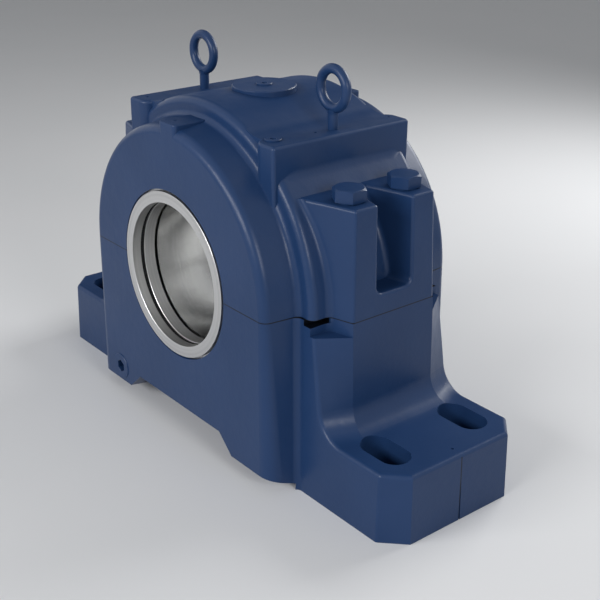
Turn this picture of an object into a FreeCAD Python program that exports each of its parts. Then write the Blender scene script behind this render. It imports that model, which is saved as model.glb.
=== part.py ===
import FreeCAD, Part
import os
import re
import Sketcher

# Split plummer block for a spherical roller bearing on an adapter sleeve.
# X runs along the base, Y along the shaft, Z up from the underside of the feet.
# Every body is drawn about the shaft axis and then lifted by the axis height.

SIZES = [
    ("base_length", 640.0, "length of the base over both feet"),
    ("base_width", 184.0, "width of the feet along the shaft"),
    ("foot_height", 76.0, "height of the feet"),
    ("foot_corner", 24.0, "bevel on the foot corners"),
    ("cast_draft", 1.5, "draft angle of the base walls, degrees"),
    ("foot_edge", 4.5, "rounding of the foot top edge"),
    ("slot_reach", 532.0, "distance between slot centres along the base"),
    ("slot_pitch", 109.0, "distance between slot centres across the base"),
    ("slot_width", 34.0, "width of an attachment slot"),
    ("slot_run", 59.0, "overall length of an attachment slot"),
    ("axis_height", 195.0, "shaft axis above the underside"),
    ("column_half", 214.0, "half length of the column end face at the parting"),
    ("column_spread", 5.0, "growth of that length down into the foot"),
    ("column_low", "=column_half + column_spread", "half length of the column end face inside the foot"),
    ("column_flat", 55.0, "half width of the column end face"),
    ("shoulder_inset", 25.0, "column front corner behind the end face at the parting"),
    ("shoulder_half", "=column_half - shoulder_inset", "half length of the column front at the parting"),
    ("shoulder_spread", 26.0, "growth of that length down into the foot"),
    ("shoulder_low", "=shoulder_half + shoulder_spread", "half length of the column front inside the foot"),
    ("column_edge", 5.0, "rounding of the column front corners"),
    ("flare_radius", 30.0, "hollow flare between column and foot"),
    ("drum_radius", 186.5, "outside radius of the bearing drum"),
    ("drum_half", 85.0, "half width of the bearing drum"),
    ("drum_edge", 8.0, "rounding of the bearing drum rim"),
    ("seal_radius", 162.0, "outside radius of the seal drum at its face"),
    ("seal_root", 167.0, "outside radius of the seal drum at the bearing drum"),
    ("seal_half", 126.3, "half width over both seal faces"),
    ("seal_edge", 10.0, "rounding of the seal drum edge"),
    ("seal_spread", 8.0, "widening of the lower seal housing down to its foot"),
    ("seal_corner", 19.0, "rounding of the lower seal housing corner at the foot"),
    ("groove_radius", 7.0, "hollow rounding behind the seal drum"),
    ("front_rise", 18.0, "clearance under the seal housing face"),
    ("centre_rise", 6.0, "clearance under the middle of the base"),
    ("channel_high", 81.0, "half width of the underside channel at its roof"),
    ("channel_low", 116.0, "half width of the underside channel at its mouth"),
    ("channel_height", 38.5, "height of the channel roof under a seal housing"),
    ("seat_rise", 16.0, "height of the channel roof under the bearing seat"),
    ("pad_outer", 132.0, "outer face of a lifting pad"),
    ("pad_inner", 98.0, "inner end of a lifting pad top"),
    ("pad_top", 360.0, "height of the lifting pads"),
    ("pad_half", 90.0, "half length of a lifting pad"),
    ("pad_corner", 14.0, "inner corner rounding of a lifting pad"),
    ("pad_edge", 3.5, "edge rounding of a lifting pad"),
    ("pad_blend", 50.0, "hollow blend from drum to lifting pad"),
    ("boss_radius", 35.0, "radius of the top boss"),
    ("boss_top", 387.0, "height of the top boss"),
    ("crest_half", 12.0, "half width of the crest on a seal drum"),
    ("crest_foot", 30.0, "half width of the crest where it meets the drum"),
    ("crest_blend", 9.0, "hollow rounding at the crest foot"),
    ("crest_top", 362.5, "height of the crest"),
    ("tower_top", 310.0, "height of the bolt towers"),
    ("tower_slant", 16.0, "slant of the tower fronts, degrees"),
    ("tower_draft", 1.9, "draft angle of the towers, degrees"),
    ("tower_edge", 3.5, "edge rounding of the towers"),
    ("tower_root", 8.0, "hollow rounding in the shoulder pocket corner"),
    ("gap_outer", 24.0, "half width of the tower gap at the end face"),
    ("gap_inner", 13.0, "half width of the tower gap at the drum"),
    ("gap_floor", 217.0, "height of the tower gap floor"),
    ("gap_corner", 9.0, "rounding at the tower gap floor"),
    ("bolt_inset", 31.5, "cap bolt centre behind the column end face"),
    ("bolt_reach", "=column_half - bolt_inset", "cap bolt centre from the middle along the base"),
    ("bolt_pitch", 36.5, "cap bolt centre from the middle along the shaft"),
    ("bolt_shank", 20.0, "cap bolt diameter"),
    ("bolt_flats", 31.0, "cap bolt width across flats"),
    ("bolt_head", 14.0, "cap bolt head height"),
    ("bolt_depth", 46.0, "cap bolt engagement below the parting"),
    ("bolt_clear", 1.0, "radial clearance of a cap bolt in the cap"),
    ("fit_clear", 0.05, "radial clearance of parts fitted to each other"),
    ("pin_radius", 5.0, "dowel pin radius"),
    ("pin_length", 28.0, "dowel pin length"),
    ("pin_inset", 14.0, "dowel pin centre behind the column end face"),
    ("pin_reach", "=column_half - pin_inset", "dowel pin centre from the middle"),
    ("pry_height", 6.0, "height of a pry slot"),
    ("pry_start", 10.0, "inner end of a pry slot inside the drum radius"),
    ("pry_inner", "=drum_radius - pry_start", "inner end of a pry slot"),
    ("pry_length", 16.0, "length of a pry slot"),
    ("pry_outer", "=pry_inner + pry_length", "outer end of a pry slot"),
    ("pry_depth", 24.0, "depth of a pry slot behind the column front"),
    ("pocket_depth", 15.0, "depth of the shoulder pocket below the parting"),
    ("mark_radius", 1.6, "radius of a drill centre mark"),
    ("mark_depth", 1.2, "depth of a drill centre mark"),
    ("line_width", 2.0, "width of the centre line groove on the foot ends"),
    ("line_depth", 1.2, "depth of the centre line groove"),
    ("eye_reach", 114.0, "eyebolt centre from the middle"),
    ("eye_shank", 5.4, "eyebolt shank radius"),
    ("eye_rise", 41.5, "eyebolt ring centre above the lifting pad"),
    ("eye_ring", 20.2, "eyebolt ring centreline radius"),
    ("eye_wire", 4.7, "eyebolt ring section radius"),
    ("eye_depth", 22.0, "eyebolt thread length in the lifting pad"),
    ("plug_radius", 8.4, "radius of a grease plug head"),
    ("plug_rise", 1.0, "height of a grease plug head"),
    ("plug_thread", 5.0, "radius of a grease plug thread"),
    ("plug_depth", 14.0, "length of a grease plug thread"),
    ("plug_side", 72.8, "pad grease plug centre along the shaft"),
    ("plug_reach", 109.6, "pad grease plug centre along the base"),
    ("drain_reach", 124.0, "drain plug centre along the base"),
    ("drain_height", 36.0, "drain plug centre above the underside"),
    ("drain_collar", 15.0, "drain plug collar radius"),
    ("drain_proud", 1.0, "drain plug collar height"),
    ("drain_thread", 10.0, "drain plug thread radius"),
    ("drain_depth", 16.0, "drain plug thread length"),
    ("drain_flats", 12.0, "drain plug socket width across flats"),
    ("bearing_outer", 160.0, "outer ring outside radius"),
    ("bearing_half", 56.0, "half width of the bearing"),
    ("race_radius", 142.0, "radius of the spherical raceway"),
    ("bore_radius", 90.0, "inner ring bore radius at the small end"),
    ("rib_radius", 112.0, "inner ring centre rib radius"),
    ("flange_radius", 107.0, "inner ring side flange radius"),
    ("roller_radius", 18.7, "roller largest radius"),
    ("roller_half", 22.0, "roller half length"),
    ("roller_tilt", 13.0, "roller contact angle, degrees"),
    ("roller_count", 18.0, "rollers in a row"),
    ("roll_clear", 0.3, "clearance between rollers and raceways"),
    ("guide_half", 5.0, "guide ring half width"),
    ("guide_foot", 2.5, "guide ring half width on the inner ring rib"),
    ("guide_height", 13.0, "guide ring radial height"),
    ("cage_bar", 2.6, "cage prong thickness"),
    ("cage_ring", 4.0, "cage end ring width"),
    ("cage_inset", 0.5, "cage end ring behind the bearing face"),
    ("oil_groove", 6.0, "outer ring oil groove half width"),
    ("locate_width", 10.0, "locating ring width"),
    ("locate_height", 20.0, "locating ring radial height"),
    ("shaft_radius", 80.0, "shaft radius"),
    ("sleeve_front", 94.5, "sleeve threaded end from the middle"),
    ("sleeve_back", 66.5, "sleeve plain end from the middle"),
    ("sleeve_slit", 3.0, "width of the sleeve slit"),
    ("nut_radius", 115.0, "lock nut outside radius"),
    ("nut_width", 30.0, "lock nut width"),
    ("nut_slot", 18.0, "lock nut slot width"),
    ("nut_slot_depth", 9.0, "lock nut slot depth"),
    ("washer_thick", 3.5, "lock washer thickness"),
    ("washer_tooth", 8.0, "lock washer tooth length"),
    ("ring_radius", 93.0, "labyrinth ring face radius"),
    ("ring_proud", 1.0, "labyrinth ring face before the seal face"),
    ("ring_front", "=seal_half + ring_proud", "labyrinth ring face from the middle"),
    ("ring_length", 29.3, "labyrinth ring length"),
    ("ring_back", "=ring_front - ring_length", "labyrinth ring inner end from the middle"),
    ("fin_height", 11.0, "labyrinth fin radial height"),
    ("fin_width", 4.0, "labyrinth fin width"),
    ("fin_inset", 7.3, "outer labyrinth fin centre behind the seal face"),
    ("fin_first", "=seal_half - fin_inset", "outer labyrinth fin centre from the middle"),
    ("fin_pitch", 12.0, "distance between the labyrinth fins"),
    ("fin_second", "=fin_first - fin_pitch", "inner labyrinth fin centre from the middle"),
    ("seal_gap", 1.8, "labyrinth gap"),
    ("hub_radius", 120.0, "labyrinth hub outside radius"),
    ("wall_thick", 14.0, "seal housing wall thickness"),
    ("chamber_radius", 146.0, "grease chamber radius"),
    ("cord_radius", 2.3, "seal cord section radius"),
    ("cord_inset", 12.3, "seal cord centre behind the seal face"),
    ("cord_centre", "=seal_half - cord_inset", "seal cord centre from the middle"),
    ("cord_proud", 0.3, "seal cord clearance to the shaft"),
]

WORDS = {entry[0] for entry in SIZES}
document = FreeCAD.newDocument("plummer_block")


def make_sheet():
    """Driving sizes as plain numbers with aliases."""
    sheet = document.addObject("Spreadsheet::Sheet", "sizes")
    for row, (alias, number, note) in enumerate(SIZES, start=1):
        sheet.set("A%d" % row, note)
        sheet.set("B%d" % row, str(number))
        sheet.setAlias("B%d" % row, alias)
    document.recompute()
    return sheet


SHEET = make_sheet()


def bound(text):
    """Expression text with each size word pointed at the sheet."""
    def point(match):
        word = match.group(0)
        return "sizes." + word if word in WORDS else word
    return re.sub(r"[a-z][a-z_]+", point, str(text))


def value(text):
    """Number that an expression of size words gives now."""
    return float(SHEET.evalExpression(bound(text)))


def link(thing, target, text):
    """Tie a property to an expression of size words."""
    thing.setExpression(target, bound(text))


def make_body(name):
    """Body drawn about the shaft axis and lifted by the axis height."""
    body = document.addObject("PartDesign::Body", name)
    body.Label = name
    body.AllowCompound = True
    link(body, "Placement.Base.z", "axis_height")
    return body


def make_sketch(body, name, plane, offset="0"):
    """Sketch on an origin plane of the body, shifted along the plane normal."""
    sketch = body.newObject("Sketcher::SketchObject", name)
    support = [item for item in body.Origin.OriginFeatures if item.Role == plane][0]
    sketch.AttachmentSupport = [(support, "")]
    sketch.MapMode = "FlatFace"
    link(sketch, "AttachmentOffset.Base.z", offset)
    return sketch


def fix_point(sketch, index, end, across, along):
    """Hold a point of the sketch at a place given by two expressions."""
    for kind, text in (("DistanceX", across), ("DistanceY", along)):
        number = sketch.addConstraint(Sketcher.Constraint(kind, -1, 1, index, end, value(text)))
        link(sketch, "Constraints[%d]" % number, text)


def corner_cut(before, here, after, radius):
    """Tangent points and centre of a rounded corner."""
    first = (before - here).normalize()
    second = (after - here).normalize()
    half = first.getAngle(second) / 2
    reach = radius / tangent(half)
    middle = (first + second).normalize()
    return here + first * reach, here + second * reach, here + middle * (radius / sine(half))


def sine(angle):
    """Sine of an angle in radians."""
    return FreeCAD.Vector(1, 0, 0).cross(turned(angle)).z


def tangent(angle):
    """Tangent of an angle in radians."""
    arm = turned(angle)
    return arm.y / arm.x


def turned(angle):
    """Unit vector at an angle from X."""
    return FreeCAD.Rotation(FreeCAD.Vector(0, 0, 1), Radian=angle).multVec(FreeCAD.Vector(1, 0, 0))


def outline(sketch, corners):
    """Closed outline through corners given as (across, along) or (across, along, rounding)."""
    spots = [FreeCAD.Vector(value(item[0]), value(item[1]), 0) for item in corners]
    count = len(corners)
    cuts = {}
    for place, item in enumerate(corners):
        if len(item) == 3:
            before, after = spots[place - 1], spots[(place + 1) % count]
            cuts[place] = corner_cut(before, spots[place], after, value(item[2]))
    lines = []
    for place in range(count):
        following = (place + 1) % count
        start = cuts[place][1] if place in cuts else spots[place]
        finish = cuts[following][0] if following in cuts else spots[following]
        lines.append(sketch.addGeometry(Part.LineSegment(start, finish), False))
    for place, item in enumerate(corners):
        before, after = lines[place - 1], lines[place]
        if place in cuts:
            round_corner(sketch, before, after, cuts[place], spots[place], item)
        else:
            sketch.addConstraint(Sketcher.Constraint("Coincident", before, 2, after, 1))
            fix_point(sketch, after, 1, item[0], item[1])


def add_arc(sketch, start, middle, finish, centre):
    """Arc through three points, kept anticlockwise, with the ends that meet start and finish."""
    forward = (start - centre).cross(finish - centre).z > 0
    arc = Part.Arc(start, middle, finish) if forward else Part.Arc(finish, middle, start)
    return sketch.addGeometry(arc, False), ((1, 2) if forward else (2, 1))


def round_corner(sketch, before, after, cut, spot, item):
    """Tangent arc between two lines whose corner stays where it was drawn."""
    start, finish, centre = cut
    radius = (start - centre).Length
    middle = centre + (spot - centre).normalize() * radius
    arc, (entry, leave) = add_arc(sketch, start, middle, finish, centre)
    sketch.addConstraint(Sketcher.Constraint("Tangent", before, 2, arc, entry))
    sketch.addConstraint(Sketcher.Constraint("Tangent", arc, leave, after, 1))
    number = sketch.addConstraint(Sketcher.Constraint("Radius", arc, radius))
    link(sketch, "Constraints[%d]" % number, item[2])
    point = sketch.addGeometry(Part.Point(spot), True)
    sketch.addConstraint(Sketcher.Constraint("PointOnObject", point, 1, before))
    sketch.addConstraint(Sketcher.Constraint("PointOnObject", point, 1, after))
    fix_point(sketch, point, 1, item[0], item[1])


def circle(sketch, across, along, radius):
    """Circle at a place with a named radius."""
    centre = FreeCAD.Vector(value(across), value(along), 0)
    ring = Part.Circle(centre, FreeCAD.Vector(0, 0, 1), value(radius))
    index = sketch.addGeometry(ring, False)
    number = sketch.addConstraint(Sketcher.Constraint("Radius", index, value(radius)))
    link(sketch, "Constraints[%d]" % number, radius)
    fix_point(sketch, index, 3, across, along)


def arc_between(sketch, first, last, radius, bulge):
    """Arc with fixed ends and a named radius, bulging to the side of the point."""
    start = FreeCAD.Vector(value(first[0]), value(first[1]), 0)
    finish = FreeCAD.Vector(value(last[0]), value(last[1]), 0)
    chord = finish - start
    side = FreeCAD.Vector(-chord.y, chord.x, 0).normalize() * bulge
    size = value(radius)
    sag = size - (size * size - chord.Length * chord.Length / 4) ** 0.5
    middle = start + chord * 0.5 + side * sag
    index, ends = add_arc(sketch, start, middle, finish, middle - side * size)
    number = sketch.addConstraint(Sketcher.Constraint("Radius", index, size))
    link(sketch, "Constraints[%d]" % number, radius)
    return index, ends


def arc_outline(sketch, corners, radius, bulge):
    """Closed outline whose last side, back to the first corner, is an arc."""
    spots = [FreeCAD.Vector(value(item[0]), value(item[1]), 0) for item in corners]
    lines = []
    for place in range(len(corners) - 1):
        edge = Part.LineSegment(spots[place], spots[place + 1])
        lines.append(sketch.addGeometry(edge, False))
        fix_point(sketch, lines[-1], 1, corners[place][0], corners[place][1])
    for before, after in zip(lines, lines[1:]):
        sketch.addConstraint(Sketcher.Constraint("Coincident", before, 2, after, 1))
    fix_point(sketch, lines[-1], 2, corners[-1][0], corners[-1][1])
    index, ends = arc_between(sketch, corners[-1], corners[0], radius, bulge)
    sketch.addConstraint(Sketcher.Constraint("Coincident", lines[-1], 2, index, ends[0]))
    sketch.addConstraint(Sketcher.Constraint("Coincident", lines[0], 1, index, ends[1]))


def settle(feature):
    """Recompute and stop on a failed feature."""
    document.recompute()
    if "Invalid" in feature.State or "Error" in feature.State or not feature.Shape.isValid():
        raise RuntimeError("failed feature: " + feature.Name)
    return feature


def pad(body, sketch, length, taper=None, middle=False, reverse=False):
    """Pad of a sketch."""
    solid = body.newObject("PartDesign::Pad", sketch.Name + "_pad")
    solid.Profile = sketch
    link(solid, "Length", length)
    if middle:
        solid.SideType = "Symmetric"
    solid.Reversed = reverse
    if taper is not None:
        link(solid, "TaperAngle", taper)
    return settle(solid)


def pocket(body, sketch, length, reverse=False, middle=False):
    """Pocket of a sketch, checked to remove material."""
    before = body.Shape.Volume
    cut = body.newObject("PartDesign::Pocket", sketch.Name + "_pocket")
    cut.Profile = sketch
    cut.Type = "Length"
    link(cut, "Length", length)
    if middle:
        cut.SideType = "Symmetric"
    cut.Reversed = reverse
    settle(cut)
    print("%-26s removes %.0f mm3" % (sketch.Name, before - cut.Shape.Volume))
    return cut


def revolve(body, sketch, angle="360", axis="H_Axis", middle=True):
    """Revolution of a sketch about the shaft axis or one of its own lines."""
    turned_solid = body.newObject("PartDesign::Revolution", sketch.Name + "_turn")
    turned_solid.Profile = sketch
    turned_solid.ReferenceAxis = (sketch, [axis])
    link(turned_solid, "Angle", angle)
    turned_solid.Midplane = middle and value(angle) < 360
    return settle(turned_solid)


def groove(body, sketch, axis="H_Axis"):
    """Turned cut all the way round the shaft axis, checked to remove material."""
    before = body.Shape.Volume
    cut = body.newObject("PartDesign::Groove", sketch.Name + "_groove")
    cut.Profile = sketch
    cut.ReferenceAxis = (sketch, [axis])
    cut.Angle = 360
    settle(cut)
    print("%-26s removes %.0f mm3" % (sketch.Name, before - cut.Shape.Volume))
    return cut


def mirror(body, features, plane):
    """Mirror image of features in an origin plane."""
    copy = body.newObject("PartDesign::Mirrored", features[0].Name + "_mirror")
    support = [item for item in body.Origin.OriginFeatures if item.Role == plane][0]
    copy.Originals = features
    copy.MirrorPlane = (support, [""])
    body.Tip = copy
    return settle(copy)


def around(body, feature, count):
    """Copies of a feature evenly spaced about the shaft axis."""
    ring = body.newObject("PartDesign::PolarPattern", feature.Name + "_ring")
    axis = [item for item in body.Origin.OriginFeatures if item.Role == "Y_Axis"][0]
    ring.Originals = [feature]
    ring.Axis = (axis, [""])
    ring.Angle = 360
    link(ring, "Occurrences", count)
    body.Tip = ring
    return settle(ring)


def pick(body, test):
    """Names of the edges of the tip whose middle point and edge pass the test."""
    names = []
    for number, edge in enumerate(body.Tip.Shape.Edges, start=1):
        spot = edge.valueAt((edge.FirstParameter + edge.LastParameter) / 2)
        if test(spot, edge):
            names.append("Edge%d" % number)
    return names


def fillet(body, name, radius, test):
    """Rounding of the picked edges."""
    names = pick(body, test)
    print("%-26s rounds %d edges" % (name, len(names)))
    base = body.Tip
    rounding = body.newObject("PartDesign::Fillet", name)
    rounding.Base = (base, names)
    link(rounding, "Radius", radius)
    return settle(rounding)


def near(first, second, slack=0.01):
    """Whether two numbers agree."""
    return abs(first - second) < slack


def seal_bore(sketch):
    """Stepped bore of the housing: labyrinths, chambers and bearing seat."""
    bore = "ring_radius + seal_gap"
    deep = "ring_radius + fin_height + seal_gap"
    side = "(fin_width / 2 + seal_gap)"
    half = [
        ("seal_half + 10", "0"),
        ("seal_half + 10", bore),
        ("fin_first + " + side, bore),
        ("fin_first + " + side, deep),
        ("fin_first - " + side, deep),
        ("fin_first - " + side, bore),
        ("fin_second + " + side, bore),
        ("fin_second + " + side, deep),
        ("fin_second - " + side, deep),
        ("fin_second - " + side, bore),
        ("ring_back", bore),
        ("ring_back", "hub_radius"),
        ("seal_half - wall_thick", "hub_radius"),
        ("seal_half - wall_thick", "chamber_radius"),
        ("bearing_half + locate_width", "chamber_radius"),
        ("bearing_half + locate_width", "bearing_outer + fit_clear"),
    ]
    mirrored = [("-(" + along + ")", across) for along, across in reversed(half)]
    outline(sketch, half + mirrored)


# Lower half of the housing with its two feet
def make_base():
    body = make_body("housing_base")
    foot(body)
    column(body)
    seal_housing(body)
    underside(body)
    sketch = make_sketch(body, "base_bore", "YZ_Plane")
    seal_bore(sketch)
    groove(body, sketch)
    slots(body)
    parting_details(body)
    base_holes(body)
    return body


def foot(body):
    """Foot plate with bevelled corners and draft."""
    sketch = make_sketch(body, "foot_plan", "XY_Plane", "-axis_height")
    far, wide = "base_length / 2", "base_width / 2"
    corners = []
    for right, back in ((1, -1), (1, 1), (-1, 1), (-1, -1)):
        corner = [
            ("%d * (%s - foot_corner)" % (right, far), "%d * %s" % (back, wide)),
            ("%d * %s" % (right, far), "%d * (%s - foot_corner)" % (back, wide)),
        ]
        corners += corner if right * back < 0 else corner[::-1]
    outline(sketch, corners)
    pad(body, sketch, "foot_height", "-cast_draft")


def column(body):
    """Column with slanted shoulders, flared into the feet, and rounded foot edges."""
    low = "-axis_height + foot_height / 2"
    loft_section(body, "column_low_plan", low, "shoulder_low", "column_low",
                 "(base_width / 2 - foot_height / 2 * tan(cast_draft))")
    loft_section(body, "column_top_plan", "0", "shoulder_half", "column_half",
                 "(base_width / 2 - axis_height * tan(cast_draft))")
    loft = body.newObject("PartDesign::AdditiveLoft", "column_loft")
    loft.Profile = document.getObject("column_low_plan")
    loft.Sections = [document.getObject("column_top_plan")]
    loft.Ruled = True
    settle(loft)
    level = value("foot_height - axis_height")
    reach = value("column_half") - 5
    far = value("base_length / 2") - 1.5 * value("foot_corner")
    wide = value("base_width / 2 - foot_height * tan(cast_draft)") - 0.5
    fillet(body, "foot_flare", "flare_radius",
           lambda spot, edge: near(spot.z, level) and abs(spot.x) < far and abs(spot.y) < wide
           and abs(spot.x) > reach - 30)
    fillet(body, "column_rounding", "column_edge",
           lambda spot, edge: level < spot.z < -5 and abs(spot.x) > reach - 30 and edge.Length > 60
           and value("column_flat") + 15 < abs(spot.y) < wide)
    fillet(body, "foot_rounding", "foot_edge",
           lambda spot, edge: near(spot.z, level) and abs(spot.x) > reach
           and (abs(spot.y) > wide or abs(spot.x) > far))


def loft_section(body, name, offset, shoulder, end, front):
    """Eight-sided section of the column."""
    sketch = make_sketch(body, name, "XY_Plane", offset)
    corners = []
    for right, back in ((1, -1), (1, 1), (-1, 1), (-1, -1)):
        corner = [
            ("%d * %s" % (right, shoulder), "%d * %s" % (back, front)),
            ("%d * %s" % (right, end), "%d * column_flat" % back),
        ]
        corners += corner if right * back < 0 else corner[::-1]
    outline(sketch, corners)


def seal_housing(body):
    """Lower seal housing, wider and rounder at its foot."""
    plans = (
        ("seal_low_plan", "axis_height", "seal_spread", "seal_corner"),
        ("seal_top_plan", "0", "0", "seal_edge"),
    )
    for name, drop, spread, rounding in plans:
        sketch = make_sketch(body, name, "XY_Plane", "-" + drop)
        front = "(base_width / 2 - (axis_height - %s) * tan(cast_draft))" % drop
        corners = []
        for right, back in ((1, -1), (1, 1), (-1, 1), (-1, -1)):
            corner = [
                ("%d * (seal_radius + %s)" % (right, spread), "%d * seal_half" % back, rounding),
                ("%d * (seal_root + %s)" % (right, spread), "%d * %s" % (back, front), "groove_radius"),
                ("%d * (seal_root + 2 * groove_radius + %s)" % (right, spread), "%d * %s" % (back, front)),
            ]
            corners += corner if right * back < 0 else corner[::-1]
        outline(sketch, corners)
    loft = body.newObject("PartDesign::AdditiveLoft", "seal_loft")
    loft.Profile = document.getObject("seal_low_plan")
    loft.Sections = [document.getObject("seal_top_plan")]
    loft.Ruled = True
    settle(loft)


def underside(body):
    """Relief under the middle of the base and under both seal housings."""
    sketch = make_sketch(body, "relief_side", "YZ_Plane")
    front, edge = "seal_half", "(base_width / 2)"
    outline(sketch, [
        ("-%s - 20" % front, "-axis_height - 10"),
        ("%s + 20" % front, "-axis_height - 10"),
        ("%s + 20" % front, "-axis_height + front_rise + 20 * (front_rise - centre_rise) / (%s - %s)"
         % (front, edge)),
        (edge, "-axis_height + centre_rise"),
        ("-" + edge, "-axis_height + centre_rise"),
        ("-%s - 20" % front, "-axis_height + front_rise + 20 * (front_rise - centre_rise) / (%s - %s)"
         % (front, edge)),
    ])
    pocket(body, sketch, "2 * (seal_root + seal_spread)", middle=True)
    lean = "((channel_low - channel_high) / (channel_height - centre_rise))"
    sketch = make_sketch(body, "channel_middle", "XZ_Plane")
    channel_section(sketch, lean, "seat_rise")
    pocket(body, sketch, "2 * drum_half + 10", middle=True)
    sketch = make_sketch(body, "channel_end", "XZ_Plane", "drum_half")
    channel_section(sketch, lean, "channel_height")
    deep = pocket(body, sketch, "seal_half - drum_half + 10", reverse=True)
    mirror(body, [deep], "XZ_Plane")


def channel_section(sketch, lean, height):
    """Leaning sides and flat roof of the underside channel."""
    roof = "(channel_low - (%s - centre_rise) * %s)" % (height, lean)
    mouth = "(channel_low + 2 * %s)" % lean
    outline(sketch, [
        ("-" + mouth, "-axis_height + centre_rise - 2"), (mouth, "-axis_height + centre_rise - 2"),
        (roof, "-axis_height + " + height), ("-" + roof, "-axis_height + " + height),
    ])


def slots(body):
    """Two attachment slots through each foot, long along the base."""
    sketch = make_sketch(body, "slot_plan", "XY_Plane", "-axis_height")
    for right in (1, -1):
        for back in (1, -1):
            slot_outline(sketch, "%d * slot_reach / 2" % right, "%d * slot_pitch / 2" % back)
    pocket(body, sketch, "foot_height + 20", reverse=True)


def slot_outline(sketch, across, along):
    """Slot with round ends."""
    run = "(slot_run - slot_width) / 2"
    centre = [FreeCAD.Vector(value(across) + side * value(run), value(along), 0) for side in (-1, 1)]
    radius = value("slot_width / 2")
    rise = FreeCAD.Vector(0, radius, 0)
    push = FreeCAD.Vector(radius, 0, 0)
    left = Part.Arc(centre[0] + rise, centre[0] - push, centre[0] - rise)
    right = Part.Arc(centre[1] - rise, centre[1] + push, centre[1] + rise)
    shapes = [left, Part.LineSegment(centre[0] - rise, centre[1] - rise), right,
              Part.LineSegment(centre[1] + rise, centre[0] + rise)]
    first = sketch.addGeometry(shapes, False)[0]
    for step in range(4):
        here, after = first + step, first + (step + 1) % 4
        sketch.addConstraint(Sketcher.Constraint("Tangent", here, 2, after, 1))
    number = sketch.addConstraint(Sketcher.Constraint("Radius", first, radius))
    link(sketch, "Constraints[%d]" % number, "slot_width / 2")
    fix_point(sketch, first, 3, "%s - %s" % (across, run), along)
    fix_point(sketch, first + 2, 3, "%s + %s" % (across, run), along)


def rectangle(sketch, left, right, low, high):
    """Upright rectangle between four expressions."""
    outline(sketch, [(left, low), (right, low), (right, high), (left, high)])


def parting_details(body):
    """Pry slots, shoulder pockets and end face lines."""
    front = "(base_width / 2 - axis_height * tan(cast_draft))"
    sketch = make_sketch(body, "shoulder_pocket", "XY_Plane")
    outline(sketch, [
        ("drum_radius", "-%s - 10" % front),
        ("column_half + 20", "-%s - 10" % front),
        ("column_half + 20", "-column_flat"),
        ("column_half", "-column_flat"),
        ("drum_radius", "-column_flat - (column_half - drum_radius) * tan(tower_slant)", "tower_root"),
    ])
    quarter = pocket(body, sketch, "pocket_depth")
    mirror_both(body, [quarter])
    sketch = make_sketch(body, "pry_plan", "XY_Plane")
    for right in (1, -1):
        for back in (1, -1):
            sides = sorted(("%d * pry_inner" % right, "%d * pry_outer" % right), key=value)
            depth = ("%d * (%s + 5)" % (back, front), "%d * (%s - pry_depth)" % (back, front))
            low, high = sorted(depth, key=value)
            rectangle(sketch, sides[0], sides[1], low, high)
    pocket(body, sketch, "pry_height")


def mirror_both(body, features):
    """The same features in all four corners."""
    multi = body.newObject("PartDesign::MultiTransform", features[0].Name + "_four")
    steps = []
    for plane in ("XZ_Plane", "YZ_Plane"):
        step = document.addObject("PartDesign::Mirrored", features[0].Name + "_" + plane[:2].lower())
        support = [item for item in body.Origin.OriginFeatures if item.Role == plane][0]
        step.MirrorPlane = (support, [""])
        body.addObject(step)
        steps.append(step)
    multi.Originals = features
    multi.Transformations = steps
    body.Tip = multi
    return settle(multi)


def base_holes(body):
    """Bolt, dowel and drain holes, centre lines and centre marks."""
    sketch = make_sketch(body, "base_bolt_holes", "XY_Plane")
    for right in (1, -1):
        for back in (1, -1):
            circle(sketch, "%d * bolt_reach" % right, "%d * bolt_pitch" % back,
                   "bolt_shank / 2 + fit_clear")
    pocket(body, sketch, "bolt_depth + 4")
    sketch = make_sketch(body, "base_pin_holes", "XY_Plane")
    for right in (1, -1):
        circle(sketch, "%d * pin_reach" % right, "0", "pin_radius + fit_clear")
    pocket(body, sketch, "pin_length / 2 + 0.5")
    sketch = make_sketch(body, "drain_hole", "XZ_Plane", "seal_half")
    circle(sketch, "-drain_reach", "drain_height - axis_height", "drain_thread + fit_clear")
    pocket(body, sketch, "drain_depth + 2")
    sketch = make_sketch(body, "foot_marks", "XY_Plane", "foot_height - axis_height")
    for right in (1, -1):
        circle(sketch, "%d * (base_length / 2 - 15)" % right, "0", "mark_radius")
    pocket(body, sketch, "mark_depth")
    sketch = make_sketch(body, "end_lines", "XY_Plane", "-axis_height")
    for right in (1, -1):
        inner = "%d * (base_length / 2 - line_depth)" % right
        outer = "%d * (base_length / 2 + 5)" % right
        low, high = sorted((inner, outer), key=value)
        rectangle(sketch, low, high, "-line_width / 2", "line_width / 2")
    pocket(body, sketch, "foot_height - foot_edge", reverse=True)


# Upper half of the housing
def make_cap():
    body = make_body("housing_cap")
    towers(body)
    tower_roundings(body)
    drums(body)
    lifting_pads(body)
    crown(body)
    sketch = make_sketch(body, "cap_bore", "YZ_Plane")
    seal_bore(sketch)
    groove(body, sketch)
    cap_holes(body)
    return body


def drums(body):
    """Bearing drum between two seal drums, turned over the upper half."""
    sketch = make_sketch(body, "drum_profile", "YZ_Plane")
    half = [
        ("seal_half", "0"),
        ("seal_half", "seal_radius", "seal_edge"),
        ("drum_half", "seal_root", "groove_radius"),
        ("drum_half", "drum_radius", "drum_edge"),
    ]
    mirrored = [("-" + item[0],) + item[1:] for item in reversed(half)]
    outline(sketch, half + mirrored)
    revolve(body, sketch, "180")


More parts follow.
